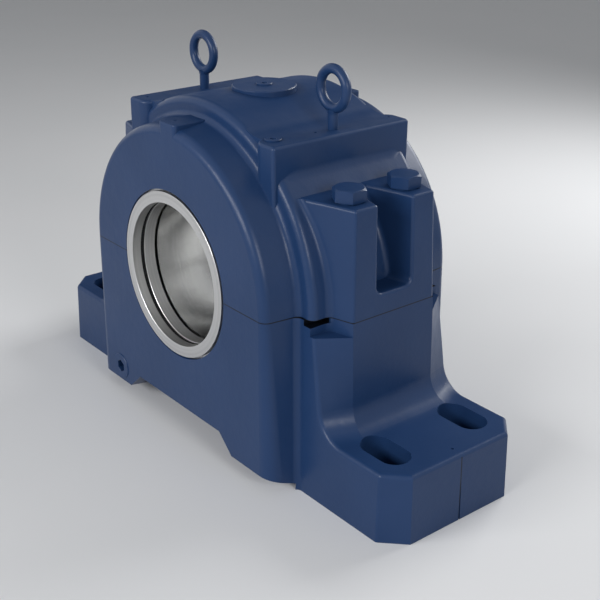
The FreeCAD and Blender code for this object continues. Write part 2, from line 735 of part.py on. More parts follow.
def towers(body):
    """Bolt towers at each end of the cap, parted by a rounded gap."""
    root = "(drum_radius - 50)"
    deep = "(column_flat + (column_half - %s) * tan(tower_slant))" % root
    sketch = make_sketch(body, "tower_plan", "XY_Plane")
    outline(sketch, [
        (root, "-" + deep), ("column_half", "-column_flat"),
        ("column_half", "column_flat"), (root, deep),
    ])
    block = pad(body, sketch, "tower_top - axis_height", "-tower_draft")
    widen = "(gap_outer - gap_inner) / (column_half - drum_radius + 20)"
    for name, across, rounding in (
        ("gap_inside", "(drum_radius - 38)", "gap_corner * 0.6"),
        ("gap_outside", "(column_half + 8)", "gap_corner"),
    ):
        sketch = make_sketch(body, name, "YZ_Plane", across)
        half = "(gap_outer + (%s - column_half) * %s)" % (across, widen)
        floor = "gap_floor - axis_height"
        outline(sketch, [
            ("-" + half, floor, rounding), (half, floor, rounding),
            (half, "tower_top - axis_height + 10"), ("-" + half, "tower_top - axis_height + 10"),
        ])
    gap = body.newObject("PartDesign::SubtractiveLoft", "tower_gap")
    gap.Profile = document.getObject("gap_inside")
    gap.Sections = [document.getObject("gap_outside")]
    gap.Ruled = True
    settle(gap)
    mirror(body, [block, gap], "YZ_Plane")


def tower_roundings(body):
    """Soft tower edges, before the drum covers the inner ends."""
    top = value("tower_top - axis_height")

    def soft(spot, edge):
        rim = near(spot.z, top) and abs(spot.x) > value("drum_radius - 45")
        post = spot.z > 1 and abs(spot.x) > value("column_half") - 8 and not near(spot.z, top)
        return rim or post
    fillet(body, "tower_rounding", "tower_edge", soft)


def lifting_pads(body):
    """Flat lifting pads blended into the drum."""
    base = "(pad_top - axis_height - 85)"
    sketch = make_sketch(body, "pad_plan", "XY_Plane", base)
    outline(sketch, [
        ("pad_inner", "-pad_half", "pad_corner"), ("pad_outer", "-pad_half", "pad_edge"),
        ("pad_outer", "pad_half", "pad_edge"), ("pad_inner", "pad_half", "pad_corner"),
    ])
    block = pad(body, sketch, "85")
    mirror(body, [block], "YZ_Plane")
    top = value("pad_top - axis_height")

    def rim(spot, edge):
        return near(spot.z, top) and abs(spot.x) > value("pad_inner") + 1
    fillet(body, "pad_rounding", "pad_edge", rim)
    sketch = make_sketch(body, "pad_blend_side", "XZ_Plane")
    angle = "acos((pad_top - axis_height) / drum_radius)"
    start = "(pad_top - axis_height) * tan(%s)" % angle
    reach = "(pad_blend * tan(%s / 2))" % angle
    outline(sketch, [
        ("pad_inner + 6", "pad_top - axis_height"),
        ("pad_inner + 6", "pad_top - axis_height - 30"),
        ("%s - 20" % start, "pad_top - axis_height - 30"),
        ("%s - %s * cos(%s)" % (start, reach, angle),
         "pad_top - axis_height + %s * sin(%s) - 0.2" % (reach, angle)),
        (start, "pad_top - axis_height", "pad_blend"),
    ])
    blend = pad(body, sketch, "2 * drum_half - drum_edge", middle=True)
    mirror(body, [blend], "YZ_Plane")


def crown(body):
    """Round boss on the drum and a crest on each seal drum."""
    sketch = make_sketch(body, "boss_plan", "XY_Plane", "drum_radius - 20")
    circle(sketch, "0", "0", "boss_radius")
    pad(body, sketch, "boss_top - axis_height - drum_radius + 20")
    top = value("boss_top - axis_height")
    fillet(body, "boss_rounding", "1", lambda spot, edge: near(spot.z, top))
    sketch = make_sketch(body, "crest_end", "XZ_Plane")
    low = "sqrt(seal_radius * seal_radius - crest_foot * crest_foot) - 0.3"
    foot = low + " + (crest_foot - crest_half - 3) * crest_foot / seal_radius / 2"
    outline(sketch, [
        ("-crest_foot", "seal_radius - 25"), ("crest_foot", "seal_radius - 25"),
        ("crest_foot", low), ("crest_half + 3", foot, "crest_blend"),
        ("crest_half", "crest_top - axis_height", "1.5"), ("-crest_half", "crest_top - axis_height", "1.5"),
        ("-crest_half - 3", foot, "crest_blend"), ("-crest_foot", low),
    ])
    pad(body, sketch, "2 * seal_half", middle=True)


def cap_holes(body):
    """Holes for cap bolts, dowels, eyebolts and plugs, and centre marks."""
    sketch = make_sketch(body, "cap_bolt_holes", "XY_Plane")
    for right in (1, -1):
        for back in (1, -1):
            circle(sketch, "%d * bolt_reach" % right, "%d * bolt_pitch" % back,
                   "bolt_shank / 2 + bolt_clear")
    pocket(body, sketch, "tower_top - axis_height + 5", reverse=True)
    sketch = make_sketch(body, "cap_pin_holes", "XY_Plane")
    for right in (1, -1):
        circle(sketch, "%d * pin_reach" % right, "0", "pin_radius + fit_clear")
    pocket(body, sketch, "pin_length / 2 + 0.5", reverse=True)
    sketch = make_sketch(body, "eye_holes", "XY_Plane", "pad_top - axis_height")
    for right in (1, -1):
        circle(sketch, "%d * eye_reach" % right, "0", "eye_shank + fit_clear")
    circle(sketch, "plug_reach", "-plug_side", "plug_thread + fit_clear")
    pocket(body, sketch, "eye_depth + 1")
    sketch = make_sketch(body, "boss_hole", "XY_Plane", "boss_top - axis_height")
    circle(sketch, "0", "0", "plug_thread + fit_clear")
    pocket(body, sketch, "boss_top - axis_height - bearing_outer + 2")
    sketch = make_sketch(body, "cap_marks", "XY_Plane", "pad_top - axis_height")
    circle(sketch, "eye_reach - 1", "-22", "mark_radius")
    circle(sketch, "eye_reach - 1", "78", "mark_radius")
    circle(sketch, "-eye_reach - 3", "-75", "mark_radius")
    pocket(body, sketch, "mark_depth")
    sketch = make_sketch(body, "crest_mark", "XY_Plane", "crest_top - axis_height")
    circle(sketch, "-3", "-seal_half + 14", "mark_radius")
    pocket(body, sketch, "mark_depth")


# Fasteners, plugs and pins
def hexagon(sketch, across, along, flats):
    """Hexagon with two flats square to the across direction."""
    corners = []
    for right, up in ((1, -1), (1, 1), (0, 2), (-1, 1), (-1, -1), (0, -2)):
        corners.append(("%s + %d * (%s) / 2" % (across, right, flats),
                        "%s + %d * (%s) / 4 / cos(30)" % (along, up, flats)))
    outline(sketch, corners)


def make_cap_bolts():
    """Four hexagon head cap bolts."""
    body = make_body("cap_bolts")
    seat = "tower_top - axis_height"
    places = [("%d * bolt_reach" % right, "%d * bolt_pitch" % back) for right in (1, -1) for back in (1, -1)]
    sketch = make_sketch(body, "bolt_heads", "XY_Plane", seat + " + 0.8")
    for across, along in places:
        hexagon(sketch, across, along, "bolt_flats")
    pad(body, sketch, "bolt_head - 0.8")
    sketch = make_sketch(body, "bolt_faces", "XY_Plane", seat)
    for across, along in places:
        circle(sketch, across, along, "bolt_flats * 0.475")
    pad(body, sketch, "0.8")
    sketch = make_sketch(body, "bolt_shanks", "XY_Plane", seat)
    for across, along in places:
        circle(sketch, across, along, "bolt_shank / 2")
    pad(body, sketch, "tower_top - axis_height + bolt_depth", reverse=True)
    return body


def make_pins():
    """Two dowel pins across the parting."""
    body = make_body("dowel_pins")
    sketch = make_sketch(body, "pin_plan", "XY_Plane")
    for right in (1, -1):
        circle(sketch, "%d * pin_reach" % right, "0", "pin_radius")
    pad(body, sketch, "pin_length", middle=True)
    return body


def make_eyebolts():
    """Two eyebolts with plain shanks."""
    body = make_body("eyebolts")
    top = "pad_top - axis_height"
    sketch = make_sketch(body, "eye_shanks", "XY_Plane", top + " - eye_depth")
    for right in (1, -1):
        circle(sketch, "%d * eye_reach" % right, "0", "eye_shank")
    pad(body, sketch, "eye_depth + eye_rise - eye_ring")
    for right, name in ((1, "right"), (-1, "left")):
        sketch = make_sketch(body, "eye_section_" + name, "XY_Plane", top + " + eye_rise")
        circle(sketch, "%d * eye_reach + eye_ring" % right, "0", "eye_wire")
        place = FreeCAD.Vector(value("%d * eye_reach" % right), 0, 0)
        axis = sketch.addGeometry(
            Part.LineSegment(place + FreeCAD.Vector(0, -30, 0), place + FreeCAD.Vector(0, 30, 0)), True)
        fix_point(sketch, axis, 1, "%d * eye_reach" % right, "-30")
        fix_point(sketch, axis, 2, "%d * eye_reach" % right, "30")
        revolve(body, sketch, "360", "Axis0", middle=False)
    return body


def make_plug(name, across, along, level):
    """Flat grease plug with a small centre hole."""
    body = make_body(name)
    sketch = make_sketch(body, name + "_head", "XY_Plane", level)
    circle(sketch, across, along, "plug_radius")
    pad(body, sketch, "plug_rise")
    sketch = make_sketch(body, name + "_thread", "XY_Plane", level)
    circle(sketch, across, along, "plug_thread")
    pad(body, sketch, "plug_depth", reverse=True)
    sketch = make_sketch(body, name + "_socket", "XY_Plane", level + " + plug_rise")
    circle(sketch, across, along, "plug_thread * 0.42")
    pocket(body, sketch, "3")
    return body


def make_drain():
    """Drain plug with collar and hexagon socket."""
    body = make_body("drain_plug")
    level = "drain_height - axis_height"
    sketch = make_sketch(body, "drain_collar_face", "XZ_Plane", "seal_half")
    circle(sketch, "-drain_reach", level, "drain_collar")
    pad(body, sketch, "drain_proud")
    sketch = make_sketch(body, "drain_thread_face", "XZ_Plane", "seal_half")
    circle(sketch, "-drain_reach", level, "drain_thread")
    pad(body, sketch, "drain_depth", reverse=True)
    sketch = make_sketch(body, "drain_socket_face", "XZ_Plane", "seal_half + drain_proud")
    hexagon(sketch, "-drain_reach", level, "drain_flats")
    pocket(body, sketch, "8")
    return body


# Spherical roller bearing
def turned_body(name, corners):
    """Body turned about the shaft axis from a closed outline."""
    body = make_body(name)
    sketch = make_sketch(body, name + "_profile", "YZ_Plane")
    outline(sketch, corners)
    revolve(body, sketch)
    return body


def make_outer_ring():
    """Outer ring with spherical raceway and oil groove."""
    body = turned_body("outer_ring", [
        ("bearing_half", "race_radius - 20"), ("bearing_half", "bearing_outer"),
        ("oil_groove", "bearing_outer"), ("oil_groove", "bearing_outer - 2"),
        ("-oil_groove", "bearing_outer - 2"), ("-oil_groove", "bearing_outer"),
        ("-bearing_half", "bearing_outer"), ("-bearing_half", "race_radius - 20"),
    ])
    ball = body.newObject("PartDesign::SubtractiveSphere", "raceway")
    link(ball, "Radius", "race_radius")
    settle(ball)
    return body


ROW = "(race_radius - roll_clear - roller_radius)"


def row_point(along_axis, outward):
    """Place at a distance along a roller's axis and away from it, in shaft and radial directions."""
    reach = "(%s + %s)" % (ROW, outward)
    along = "%s * sin(roller_tilt) + (%s) * cos(roller_tilt)" % (reach, along_axis)
    radial = "%s * cos(roller_tilt) - (%s) * sin(roller_tilt)" % (reach, along_axis)
    return along, radial


def make_inner_ring():
    """Tapered bore inner ring with two roller tracks."""
    body = turned_body("inner_ring", [
        ("-bearing_half", "bore_radius"), ("bearing_half", "bore_radius + bearing_half / 12"),
        ("bearing_half", "flange_radius"), ("bearing_half / 2", "flange_radius + 3"),
        ("guide_half + 1", "rib_radius"), ("-guide_half - 1", "rib_radius"),
        ("-bearing_half / 2", "flange_radius + 3"), ("-bearing_half", "flange_radius"),
    ])
    sketch = make_sketch(body, "track", "YZ_Plane")
    drop = "(race_radius - sqrt(race_radius * race_radius - pow(roller_half + 1; 2)))"
    low = "-roller_radius - roll_clear + " + drop
    arc_outline(sketch, [
        row_point("-roller_half - 1", low), row_point("-roller_half - 1", "6"),
        row_point("roller_half + 1", "6"), row_point("roller_half + 1", low),
    ], "race_radius", 1)
    track = groove(body, sketch)
    mirror(body, [track], "XZ_Plane")
    return body


def roller_shape():
    """One barrel roller of the back row, above the shaft."""
    half = "roller_half"
    drop = "(race_radius - sqrt(race_radius * race_radius - roller_half * roller_half))"
    end = "roller_radius - " + drop
    lift = FreeCAD.Vector(0, 0, value("axis_height"))

    def spot(along_axis, outward):
        along, radial = row_point(along_axis, outward)
        return FreeCAD.Vector(0, value(along), value(radial)) + lift
    ends = [spot("-" + half, "0"), spot(half, "0")]
    rims = [spot(half, end), spot("-" + half, end)]
    barrel = Part.Arc(rims[0], spot("0", "roller_radius"), rims[1]).toShape()
    sides = [
        Part.LineSegment(ends[0], ends[1]).toShape(), Part.LineSegment(ends[1], rims[0]).toShape(),
        barrel, Part.LineSegment(rims[1], ends[0]).toShape(),
    ]
    return Part.Face(Part.Wire(sides)).revolve(ends[0], ends[1] - ends[0], 360)


def make_rollers(name, back):
    """One row of rollers, spaced between the cage prongs."""
    count = int(value("roller_count"))
    centre = FreeCAD.Vector(0, 0, value("axis_height"))
    copies = []
    roller = roller_shape()
    for place in range(count):
        copy = roller.copy()
        copy.rotate(centre, FreeCAD.Vector(0, 1, 0), 360.0 * (place + 0.5) / count)
        if not back:
            copy.rotate(centre, FreeCAD.Vector(0, 0, 1), 180)
        copies.append(copy)
    row = document.addObject("Part::Feature", name)
    row.Label = name
    row.Shape = Part.makeCompound(copies)
    return row


def make_cage(name, back):
    """Comb cage: an end ring with a prong between each two rollers."""
    body = make_body(name)
    ring_side = "bearing_half - cage_inset - cage_ring"
    sketch = make_sketch(body, name + "_ring", "YZ_Plane")
    low, high = "flange_radius + 3", "flange_radius + 14"
    rectangle(sketch, ring_side, "bearing_half - cage_inset", low, high)
    revolve(body, sketch)
    sketch = make_sketch(body, name + "_prong", "YZ_Plane")
    outline(sketch, [
        (ring_side + " + 1", "flange_radius + 5"), (ring_side + " + 1", high),
        row_point("-roller_half + 2", "5"), row_point("-roller_half + 2", "-4"),
    ])
    prong = pad(body, sketch, "cage_bar", middle=True)
    around(body, prong, "roller_count")
    if not back:
        body.Placement.Rotation = FreeCAD.Rotation(FreeCAD.Vector(0, 0, 1), 180)
        document.recompute()
    return body


def make_guide_ring():
    """Loose guide ring between the two rows."""
    return turned_body("guide_ring", [
        ("-guide_foot", "rib_radius + roll_clear"), ("guide_foot", "rib_radius + roll_clear"),
        ("guide_half", "rib_radius + guide_height"), ("-guide_half", "rib_radius + guide_height"),
    ])


def make_locating_ring(name, side):
    """Locating ring beside the outer ring."""
    near_end = "%d * bearing_half" % side
    far_end = "%d * (bearing_half + locate_width)" % side
    return turned_body(name, [
        (near_end, "bearing_outer - locate_height"), (far_end, "bearing_outer - locate_height"),
        (far_end, "bearing_outer"), (near_end, "bearing_outer"),
    ])


# Sleeve, nut and washer
def make_sleeve():
    """Adapter sleeve, tapered outside and slit along one side."""
    body = turned_body("adapter_sleeve", [
        ("-sleeve_front", "shaft_radius"), ("sleeve_back", "shaft_radius"),
        ("sleeve_back", "bore_radius - fit_clear + (sleeve_back + bearing_half) / 24"),
        ("-bearing_half", "bore_radius - fit_clear"),
        ("-sleeve_front", "bore_radius - fit_clear"),
    ])
    sketch = make_sketch(body, "sleeve_slit_plan", "XY_Plane")
    rectangle(sketch, "shaft_radius - 5", "bore_radius + 12", "-sleeve_front - 1", "sleeve_back + 1")
    pocket(body, sketch, "sleeve_slit", middle=True)
    return body


def make_nut():
    """Slotted lock nut behind the lock washer."""
    back = "-bearing_half - washer_thick"
    body = turned_body("lock_nut", [
        (back + " - nut_width", "bore_radius"), (back, "bore_radius"),
        (back, "nut_radius"), (back + " - nut_width", "nut_radius"),
    ])
    sketch = make_sketch(body, "nut_slot_face", "XZ_Plane", "bearing_half + washer_thick")
    rectangle(sketch, "-nut_slot / 2", "nut_slot / 2", "nut_radius - nut_slot_depth", "nut_radius + 10")
    notch = pocket(body, sketch, "nut_width + 1", reverse=True)
    around(body, notch, "8")
    return body


def make_washer():
    """Toothed lock washer between nut and inner ring."""
    body = turned_body("lock_washer", [
        ("-bearing_half - washer_thick", "bore_radius"), ("-bearing_half", "bore_radius"),
        ("-bearing_half", "nut_radius"), ("-bearing_half - washer_thick", "nut_radius"),
    ])
    sketch = make_sketch(body, "tooth_face", "XZ_Plane", "bearing_half")
    rectangle(sketch, "-nut_slot / 2 + 0.5", "nut_slot / 2 - 0.5", "nut_radius - 3", "nut_radius + washer_tooth")
    tooth = pad(body, sketch, "washer_thick")
    around(body, tooth, "16")
    return body


# Seals
def make_labyrinth(name, side):
    """Labyrinth ring with two fins and an inner groove for the seal cord."""
    fin = "ring_radius + fin_height"
    cut = "shaft_radius + cord_proud + 2 * cord_radius + 0.2"
    half = "cord_radius"
    rows = [
        ("ring_back", "shaft_radius"), ("cord_centre - " + half, "shaft_radius"),
        ("cord_centre - " + half, cut), ("cord_centre + " + half, cut),
        ("cord_centre + " + half, "shaft_radius"), ("ring_front", "shaft_radius"),
        ("ring_front", "ring_radius"),
    ]
    for fin_name in ("fin_first", "fin_second"):
        rows += [
            (fin_name + " + fin_width / 2", "ring_radius"), (fin_name + " + fin_width / 2", fin),
            (fin_name + " - fin_width / 2", fin), (fin_name + " - fin_width / 2", "ring_radius"),
        ]
    rows.append(("ring_back", "ring_radius"))
    return turned_body(name, [("%d * (%s)" % (side, along), across) for along, across in rows])


def make_cord(name, side):
    """Round seal cord in the groove of the labyrinth ring."""
    body = make_body(name)
    sketch = make_sketch(body, name + "_section", "YZ_Plane")
    circle(sketch, "%d * cord_centre" % side, "shaft_radius + cord_proud + cord_radius", "cord_radius - 0.05")
    revolve(body, sketch)
    return body


def check(objects):
    """Stop on a failed feature or an empty or invalid shape."""
    for item in document.Objects:
        if "Invalid" in item.State or "Error" in item.State:
            raise RuntimeError("failed feature: " + item.Label)
    for item in objects:
        if item.Shape.isNull() or not item.Shape.isValid():
            raise RuntimeError("bad shape: " + item.Label)


def main():
    """Build every piece, check it and write it."""
    pieces = [
        make_base(), make_cap(), make_cap_bolts(), make_pins(), make_eyebolts(),
        make_plug("top_plug", "0", "0", "boss_top - axis_height"),
        make_plug("pad_plug", "plug_reach", "-plug_side", "pad_top - axis_height"),
        make_drain(), make_outer_ring(), make_inner_ring(), make_guide_ring(),
        make_rollers("rollers_front", False), make_rollers("rollers_back", True),
        make_cage("cage_front", False), make_cage("cage_back", True),
        make_locating_ring("locating_ring_front", -1), make_locating_ring("locating_ring_back", 1),
        make_sleeve(), make_nut(), make_washer(),
        make_labyrinth("labyrinth_ring_front", -1), make_labyrinth("labyrinth_ring_back", 1),
        make_cord("seal_cord_front", -1), make_cord("seal_cord_back", 1),
    ]
    document.recompute()
    check(pieces)
    os.makedirs("parts", exist_ok=True)
    for piece in pieces:
        box = piece.Shape.BoundBox
        print("%-22s solids %2d volume %.0f  x %.1f..%.1f y %.1f..%.1f z %.1f..%.1f" % (
            piece.Label, len(piece.Shape.Solids), piece.Shape.Volume,
            box.XMin, box.XMax, box.YMin, box.YMax, box.ZMin, box.ZMax))
        piece.Shape.exportStep("parts/%s.step" % piece.Label)


main()
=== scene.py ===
"""Looks of a split plummer block: painted castings, bright seal rings and the bearing inside."""
import logging
import math
from dataclasses import dataclass, field
from enum import Enum
from typing import Callable, Sequence

import bmesh
import bpy
from bmesh.types import BMEdge, BMesh, BMVert
from bpy.types import Material, Mesh, Node, NodeSocket, NodeTree, Object
from mathutils import Matrix, Vector
from mathutils.bvhtree import BVHTree
from mathutils.interpolate import poly_3d_calc


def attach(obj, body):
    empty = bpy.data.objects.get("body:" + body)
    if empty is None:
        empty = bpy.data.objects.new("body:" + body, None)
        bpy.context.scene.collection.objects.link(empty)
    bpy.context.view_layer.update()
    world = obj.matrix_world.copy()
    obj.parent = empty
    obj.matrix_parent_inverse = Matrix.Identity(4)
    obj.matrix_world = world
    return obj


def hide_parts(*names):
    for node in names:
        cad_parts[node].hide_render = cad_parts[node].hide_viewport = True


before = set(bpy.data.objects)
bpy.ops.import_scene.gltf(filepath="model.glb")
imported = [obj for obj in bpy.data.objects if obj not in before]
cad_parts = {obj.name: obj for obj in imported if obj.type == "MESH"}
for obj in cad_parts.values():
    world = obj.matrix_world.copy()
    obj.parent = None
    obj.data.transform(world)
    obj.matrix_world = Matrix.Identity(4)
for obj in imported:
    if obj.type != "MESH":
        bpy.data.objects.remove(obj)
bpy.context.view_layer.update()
LOG = logging.getLogger("plummer_block")
Point = tuple[float, float]
Triple = tuple[float, float, float]
AXIS_HEIGHT = 0.195
MERGE = 1e-6


class Body(Enum):
    """Bodies that the pieces made here ride on."""

    HOUSING = "housing"
    ROTOR = "rotor"


class Side(Enum):
    """Side of the block along the shaft."""

    FRONT = -1
    BACK = 1


# Helpers for shader and geometry trees
class NodeGarden:
    """Adds and joins nodes of one tree."""

    def __init__(self, tree: NodeTree) -> None:
        """Keep the tree."""
        self.tree = tree

    def add(self, kind: str, inputs: dict | None = None, **settings: object) -> Node:
        """Add one node.

        Args:
            kind: Node type name.
            inputs: Values or output sockets by input name or number.
            settings: Attributes of the node.

        Returns:
            The new node.
        """
        node = self.tree.nodes.new(kind)
        for name, setting in settings.items():
            setattr(node, name, setting)
        for name, entry in (inputs or {}).items():
            if isinstance(entry, NodeSocket):
                self.tree.links.new(entry, node.inputs[name])
            else:
                node.inputs[name].default_value = entry
        return node

    def math(self, operation: str, *entries: object) -> NodeSocket:
        """Add a Math node and return its output."""
        node = self.add("ShaderNodeMath", {i: e for i, e in enumerate(entries)}, operation=operation)
        return node.outputs[0]


class ShaderGarden(NodeGarden):
    """Shader tree of one finish."""

    def __init__(self, name: str) -> None:
        """Start a material with one principled shader.

        Args:
            name: Name of the material.
        """
        self.material = bpy.data.materials.new(name)
        self.material.use_nodes = True
        super().__init__(self.material.node_tree)
        self.shader = self.tree.nodes["Principled BSDF"]
        source = self.add("ShaderNodeTexCoord")
        self.place = source.outputs["Object"]
        self.turning = source.outputs["Normal"]

    def noise(self, scale: float, detail: float = 2.0, vector: object = None) -> NodeSocket:
        """Return the factor of a noise pattern.

        Args:
            scale: Features per metre.
            detail: Octaves.
            vector: Pattern place, the object's own by default.

        Returns:
            The factor socket.
        """
        node = self.add("ShaderNodeTexNoise", {"Vector": vector or self.place, "Scale": scale, "Detail": detail})
        return node.outputs["Fac"]

    def spread(self, factor: object, low: float, high: float, start: float = 0.3,
               stop: float = 0.7) -> NodeSocket:
        """Map a factor from start..stop to low..high."""
        node = self.add("ShaderNodeMapRange", {
            "Value": factor, "From Min": start, "From Max": stop, "To Min": low, "To Max": high})
        return node.outputs["Result"]

    def tint(self, factor: object, first: Sequence[float], second: Sequence[float]) -> NodeSocket:
        """Mix two colours by a factor.

        Args:
            factor: Socket that mixes them.
            first: Colour or socket where the factor is 0.
            second: Colour or socket where the factor is 1.

        Returns:
            The mixed colour.
        """
        node = self.add("ShaderNodeMix", {0: factor}, data_type="RGBA")
        for number, colour in ((6, first), (7, second)):
            if isinstance(colour, NodeSocket):
                self.tree.links.new(colour, node.inputs[number])
            else:
                node.inputs[number].default_value = (*colour[:3], 1.0)
        return node.outputs[2]

    def bump(self, height: object, strength: float, distance: float, under: object = None) -> NodeSocket:
        """Return a bumped normal."""
        inputs = {"Height": height, "Strength": strength, "Distance": distance}
        if under is not None:
            inputs["Normal"] = under
        return self.add("ShaderNodeBump", inputs).outputs["Normal"]

    def join(self, name: str, source: NodeSocket) -> None:
        """Link a socket to the shader's input of that name."""
        self.tree.links.new(source, self.shader.inputs[name])

    def turned_place(self) -> tuple[NodeSocket, NodeSocket]:
        """Return the distance from the shaft axis and the place along it."""
        parts = self.add("ShaderNodeSeparateXYZ", {0: self.place})
        rise = self.math("SUBTRACT", parts.outputs["Z"], AXIS_HEIGHT)
        square = self.math("ADD", self.math("MULTIPLY", parts.outputs["X"], parts.outputs["X"]),
                           self.math("MULTIPLY", rise, rise))
        return self.math("SQRT", square), parts.outputs["Y"]


@dataclass(frozen=True)
class HousingPaint:
    """Satin paint over a fine cast skin, duller on top, with dark lines at the parting and foot ends and painted
    shade in the pry slots.
    """

    name: str = "blue_paint_satin"
    deep: Triple = (0.011, 0.034, 0.100)
    light: Triple = (0.015, 0.041, 0.116)
    parting: float = AXIS_HEIGHT
    parted: bool = True
    # Dark colour of the parting and foot-end lines, also used as painted shade in the pry slots.
    line: Triple = (0.002, 0.003, 0.006)
    line_edge: Point = (0.00035, 0.00065)
    end_edge: Point = (0.0005, 0.0008)
    end_reach: float = 0.3145
    end_height: float = 0.0728
    # Span across and height of the pry slots' depth, which gets painted shade.
    slot_shade_reach: Point = (0.1763, 0.1870)
    slot_shade_height: Point = (0.1888, 0.1949)
    gloss: Point = (0.26, 0.04)
    mottle: float = 9.0
    satin_pitch: float = 60.0
    grain_pitch: float = 420.0
    grain: Point = (0.22, 0.0004)
    peel_pitch: float = 95.0
    peel: Point = (0.16, 0.0012)
    satin: Point = (0.28, 0.36)
    dusty: Point = (0.78, 0.97)
    dulling: float = 0.25

    def end_line(self, garden: ShaderGarden) -> NodeSocket:
        """Return 0 on the centre line of each foot end and 1 elsewhere.

        Args:
            garden: Tree that the nodes go into.

        Returns:
            The factor socket.
        """
        parts = garden.add("ShaderNodeSeparateXYZ", {0: garden.place})
        beside = garden.spread(garden.math("ABSOLUTE", parts.outputs["Y"]), 0.0, 1.0, *self.end_edge)
        inside = garden.math("LESS_THAN", garden.math("ABSOLUTE", parts.outputs["X"]), self.end_reach)
        above = garden.math("GREATER_THAN", parts.outputs["Z"], self.end_height)
        return garden.math("MAXIMUM", garden.math("MAXIMUM", inside, above), beside)

    def slot(self, garden: ShaderGarden) -> NodeSocket:
        """Return 0 in the depth of the pry slots, where shade is painted dark, and 1 elsewhere.

        Args:
            garden: Tree that the nodes go into.

        Returns:
            The factor socket.
        """
        parts = garden.add("ShaderNodeSeparateXYZ", {0: garden.place})
        across = garden.math("ABSOLUTE", parts.outputs["X"])
        tests = []
        for place, (low, high) in ((across, self.slot_shade_reach), (parts.outputs["Z"], self.slot_shade_height)):
            tests.append(garden.math("MULTIPLY", garden.math("GREATER_THAN", place, low),
                                     garden.math("LESS_THAN", place, high)))
        return garden.math("SUBTRACT", 1.0, garden.math("MULTIPLY", *tests))

    def build(self) -> Material:
        """Return the material."""
        garden = ShaderGarden(self.name)
        colour = garden.tint(garden.spread(garden.noise(self.mottle, 3.0), 0.0, 1.0), self.deep, self.light)
        if self.parted:
            height = garden.add("ShaderNodeSeparateXYZ", {0: garden.place}).outputs["Z"]
            away = garden.math("ABSOLUTE", garden.math("SUBTRACT", height, self.parting))
            line = garden.spread(away, 0.0, 1.0, *self.line_edge)
            # Darken the parting and foot-end lines, and paint shade into the pry slots.
            plain_paint = garden.math("MULTIPLY", line, garden.math("MULTIPLY", self.end_line(garden), self.slot(garden)))
            colour = garden.tint(plain_paint, self.line, colour)
        garden.join("Base Color", colour)
        normal = garden.add("ShaderNodeSeparateXYZ", {0: garden.turning})
        dust = garden.spread(normal.outputs["Z"], 0.0, 1.0, *self.dusty)
        satin = garden.spread(garden.noise(self.satin_pitch, 2.0), *self.satin)
        garden.join("Roughness", garden.math("ADD", satin, garden.math("MULTIPLY", dust, self.dulling)))
        garden.join("Specular IOR Level", garden.spread(dust, *self.gloss, 0.0, 1.0))
        skin = garden.bump(garden.noise(self.grain_pitch, 3.0), *self.grain)
        garden.join("Normal", garden.bump(garden.noise(self.peel_pitch, 1.0), *self.peel, skin))
        return garden.material


@dataclass(frozen=True)
class TurnedSteel:
    """Bright steel with fine rings left by the lathe."""

    name: str = "turned_steel"
    tone: Triple = (0.80, 0.80, 0.79)
    pale: Triple = (0.88, 0.88, 0.87)
    roughness: Point = (0.12, 0.22)
    pitch: float = 5200.0
    coarser: float = 14.0
    relief: Point = (0.30, 0.00005)

    def build(self) -> Material:
        """Return the material."""
        garden = ShaderGarden(self.name)
        reach, along = garden.turned_place()
        place = garden.add("ShaderNodeCombineXYZ", {0: reach, 1: along}).outputs[0]
        rings = garden.noise(self.pitch, 2.0, place)
        broad = garden.noise(self.pitch / self.coarser, 2.0, place)
        garden.join("Base Color", garden.tint(garden.spread(broad, 0.0, 1.0), self.tone, self.pale))
        garden.join("Roughness", garden.spread(rings, *self.roughness))
        garden.join("Normal", garden.bump(rings, *self.relief))
        garden.shader.inputs["Metallic"].default_value = 1.0
        return garden.material


@dataclass(frozen=True)
class SealRubber:
    """Black rubber of the seal cords."""

    name: str = "seal_rubber"
    deep: Triple = (0.012, 0.012, 0.013)
    light: Triple = (0.022, 0.022, 0.024)
    roughness: Point = (0.7, 0.85)
    gloss: float = 0.06
    mottle: float = 120.0
    patch: float = 300.0
    grain_pitch: float = 1500.0
    grain: Point = (0.2, 0.0001)

    def build(self) -> Material:
        """Return the material."""
        garden = ShaderGarden(self.name)
        garden.join("Base Color", garden.tint(garden.noise(self.mottle), self.deep, self.light))
        garden.join("Roughness", garden.spread(garden.noise(self.patch), *self.roughness))
        garden.join("Normal", garden.bump(garden.noise(self.grain_pitch), *self.grain))
        garden.shader.inputs["Specular IOR Level"].default_value = self.gloss
        return garden.material


# Mesh helpers
def put_down(name: str, mesh: Mesh, finish: Material, smooth: float = 35.0) -> Object:
    """Make an object from a finished mesh.

    Args:
        name: Name of the piece.
        mesh: Its mesh, in place.
        finish: Its material.
        smooth: Edges flatter than this many degrees are shaded smooth.

    Returns:
        The linked object.
    """
    mesh.name = name
    piece = bpy.data.objects.new(name, mesh)
    bpy.context.scene.collection.objects.link(piece)
    mesh.materials.clear()
    mesh.materials.append(finish)
    mesh.shade_smooth()
    mesh.set_sharp_from_angle(angle=math.radians(smooth))
    return piece


def from_bmesh(form: BMesh) -> Mesh:
    """Close, orient and release a bmesh as a mesh.

    Args:
        form: Mesh in the making, freed here.

    Returns:
        The finished mesh.
    """
    bmesh.ops.remove_doubles(form, verts=form.verts, dist=MERGE)
    bmesh.ops.recalc_face_normals(form, faces=form.faces)
    mesh = bpy.data.meshes.new("form")
    form.to_mesh(mesh)
    form.free()
    return mesh


def bridge(form: BMesh, rows: Sequence[Sequence[BMVert]], closed: bool = True,
           ends: bool = False) -> None:
    """Join each row of points to the next by quads.

    Args:
        form: Mesh that the faces go into.
        rows: Rows of equally many points.
        closed: Whether the last point of a row joins its first.
        ends: Whether the first and last rows are filled.
    """
    count = len(rows[0])
    for near, far in zip(rows, rows[1:]):
        for spot in range(count if closed else count - 1):
            after = (spot + 1) % count
            form.faces.new((near[spot], near[after], far[after], far[spot]))
    if ends:
        form.faces.new(rows[0])
        form.faces.new(rows[-1])


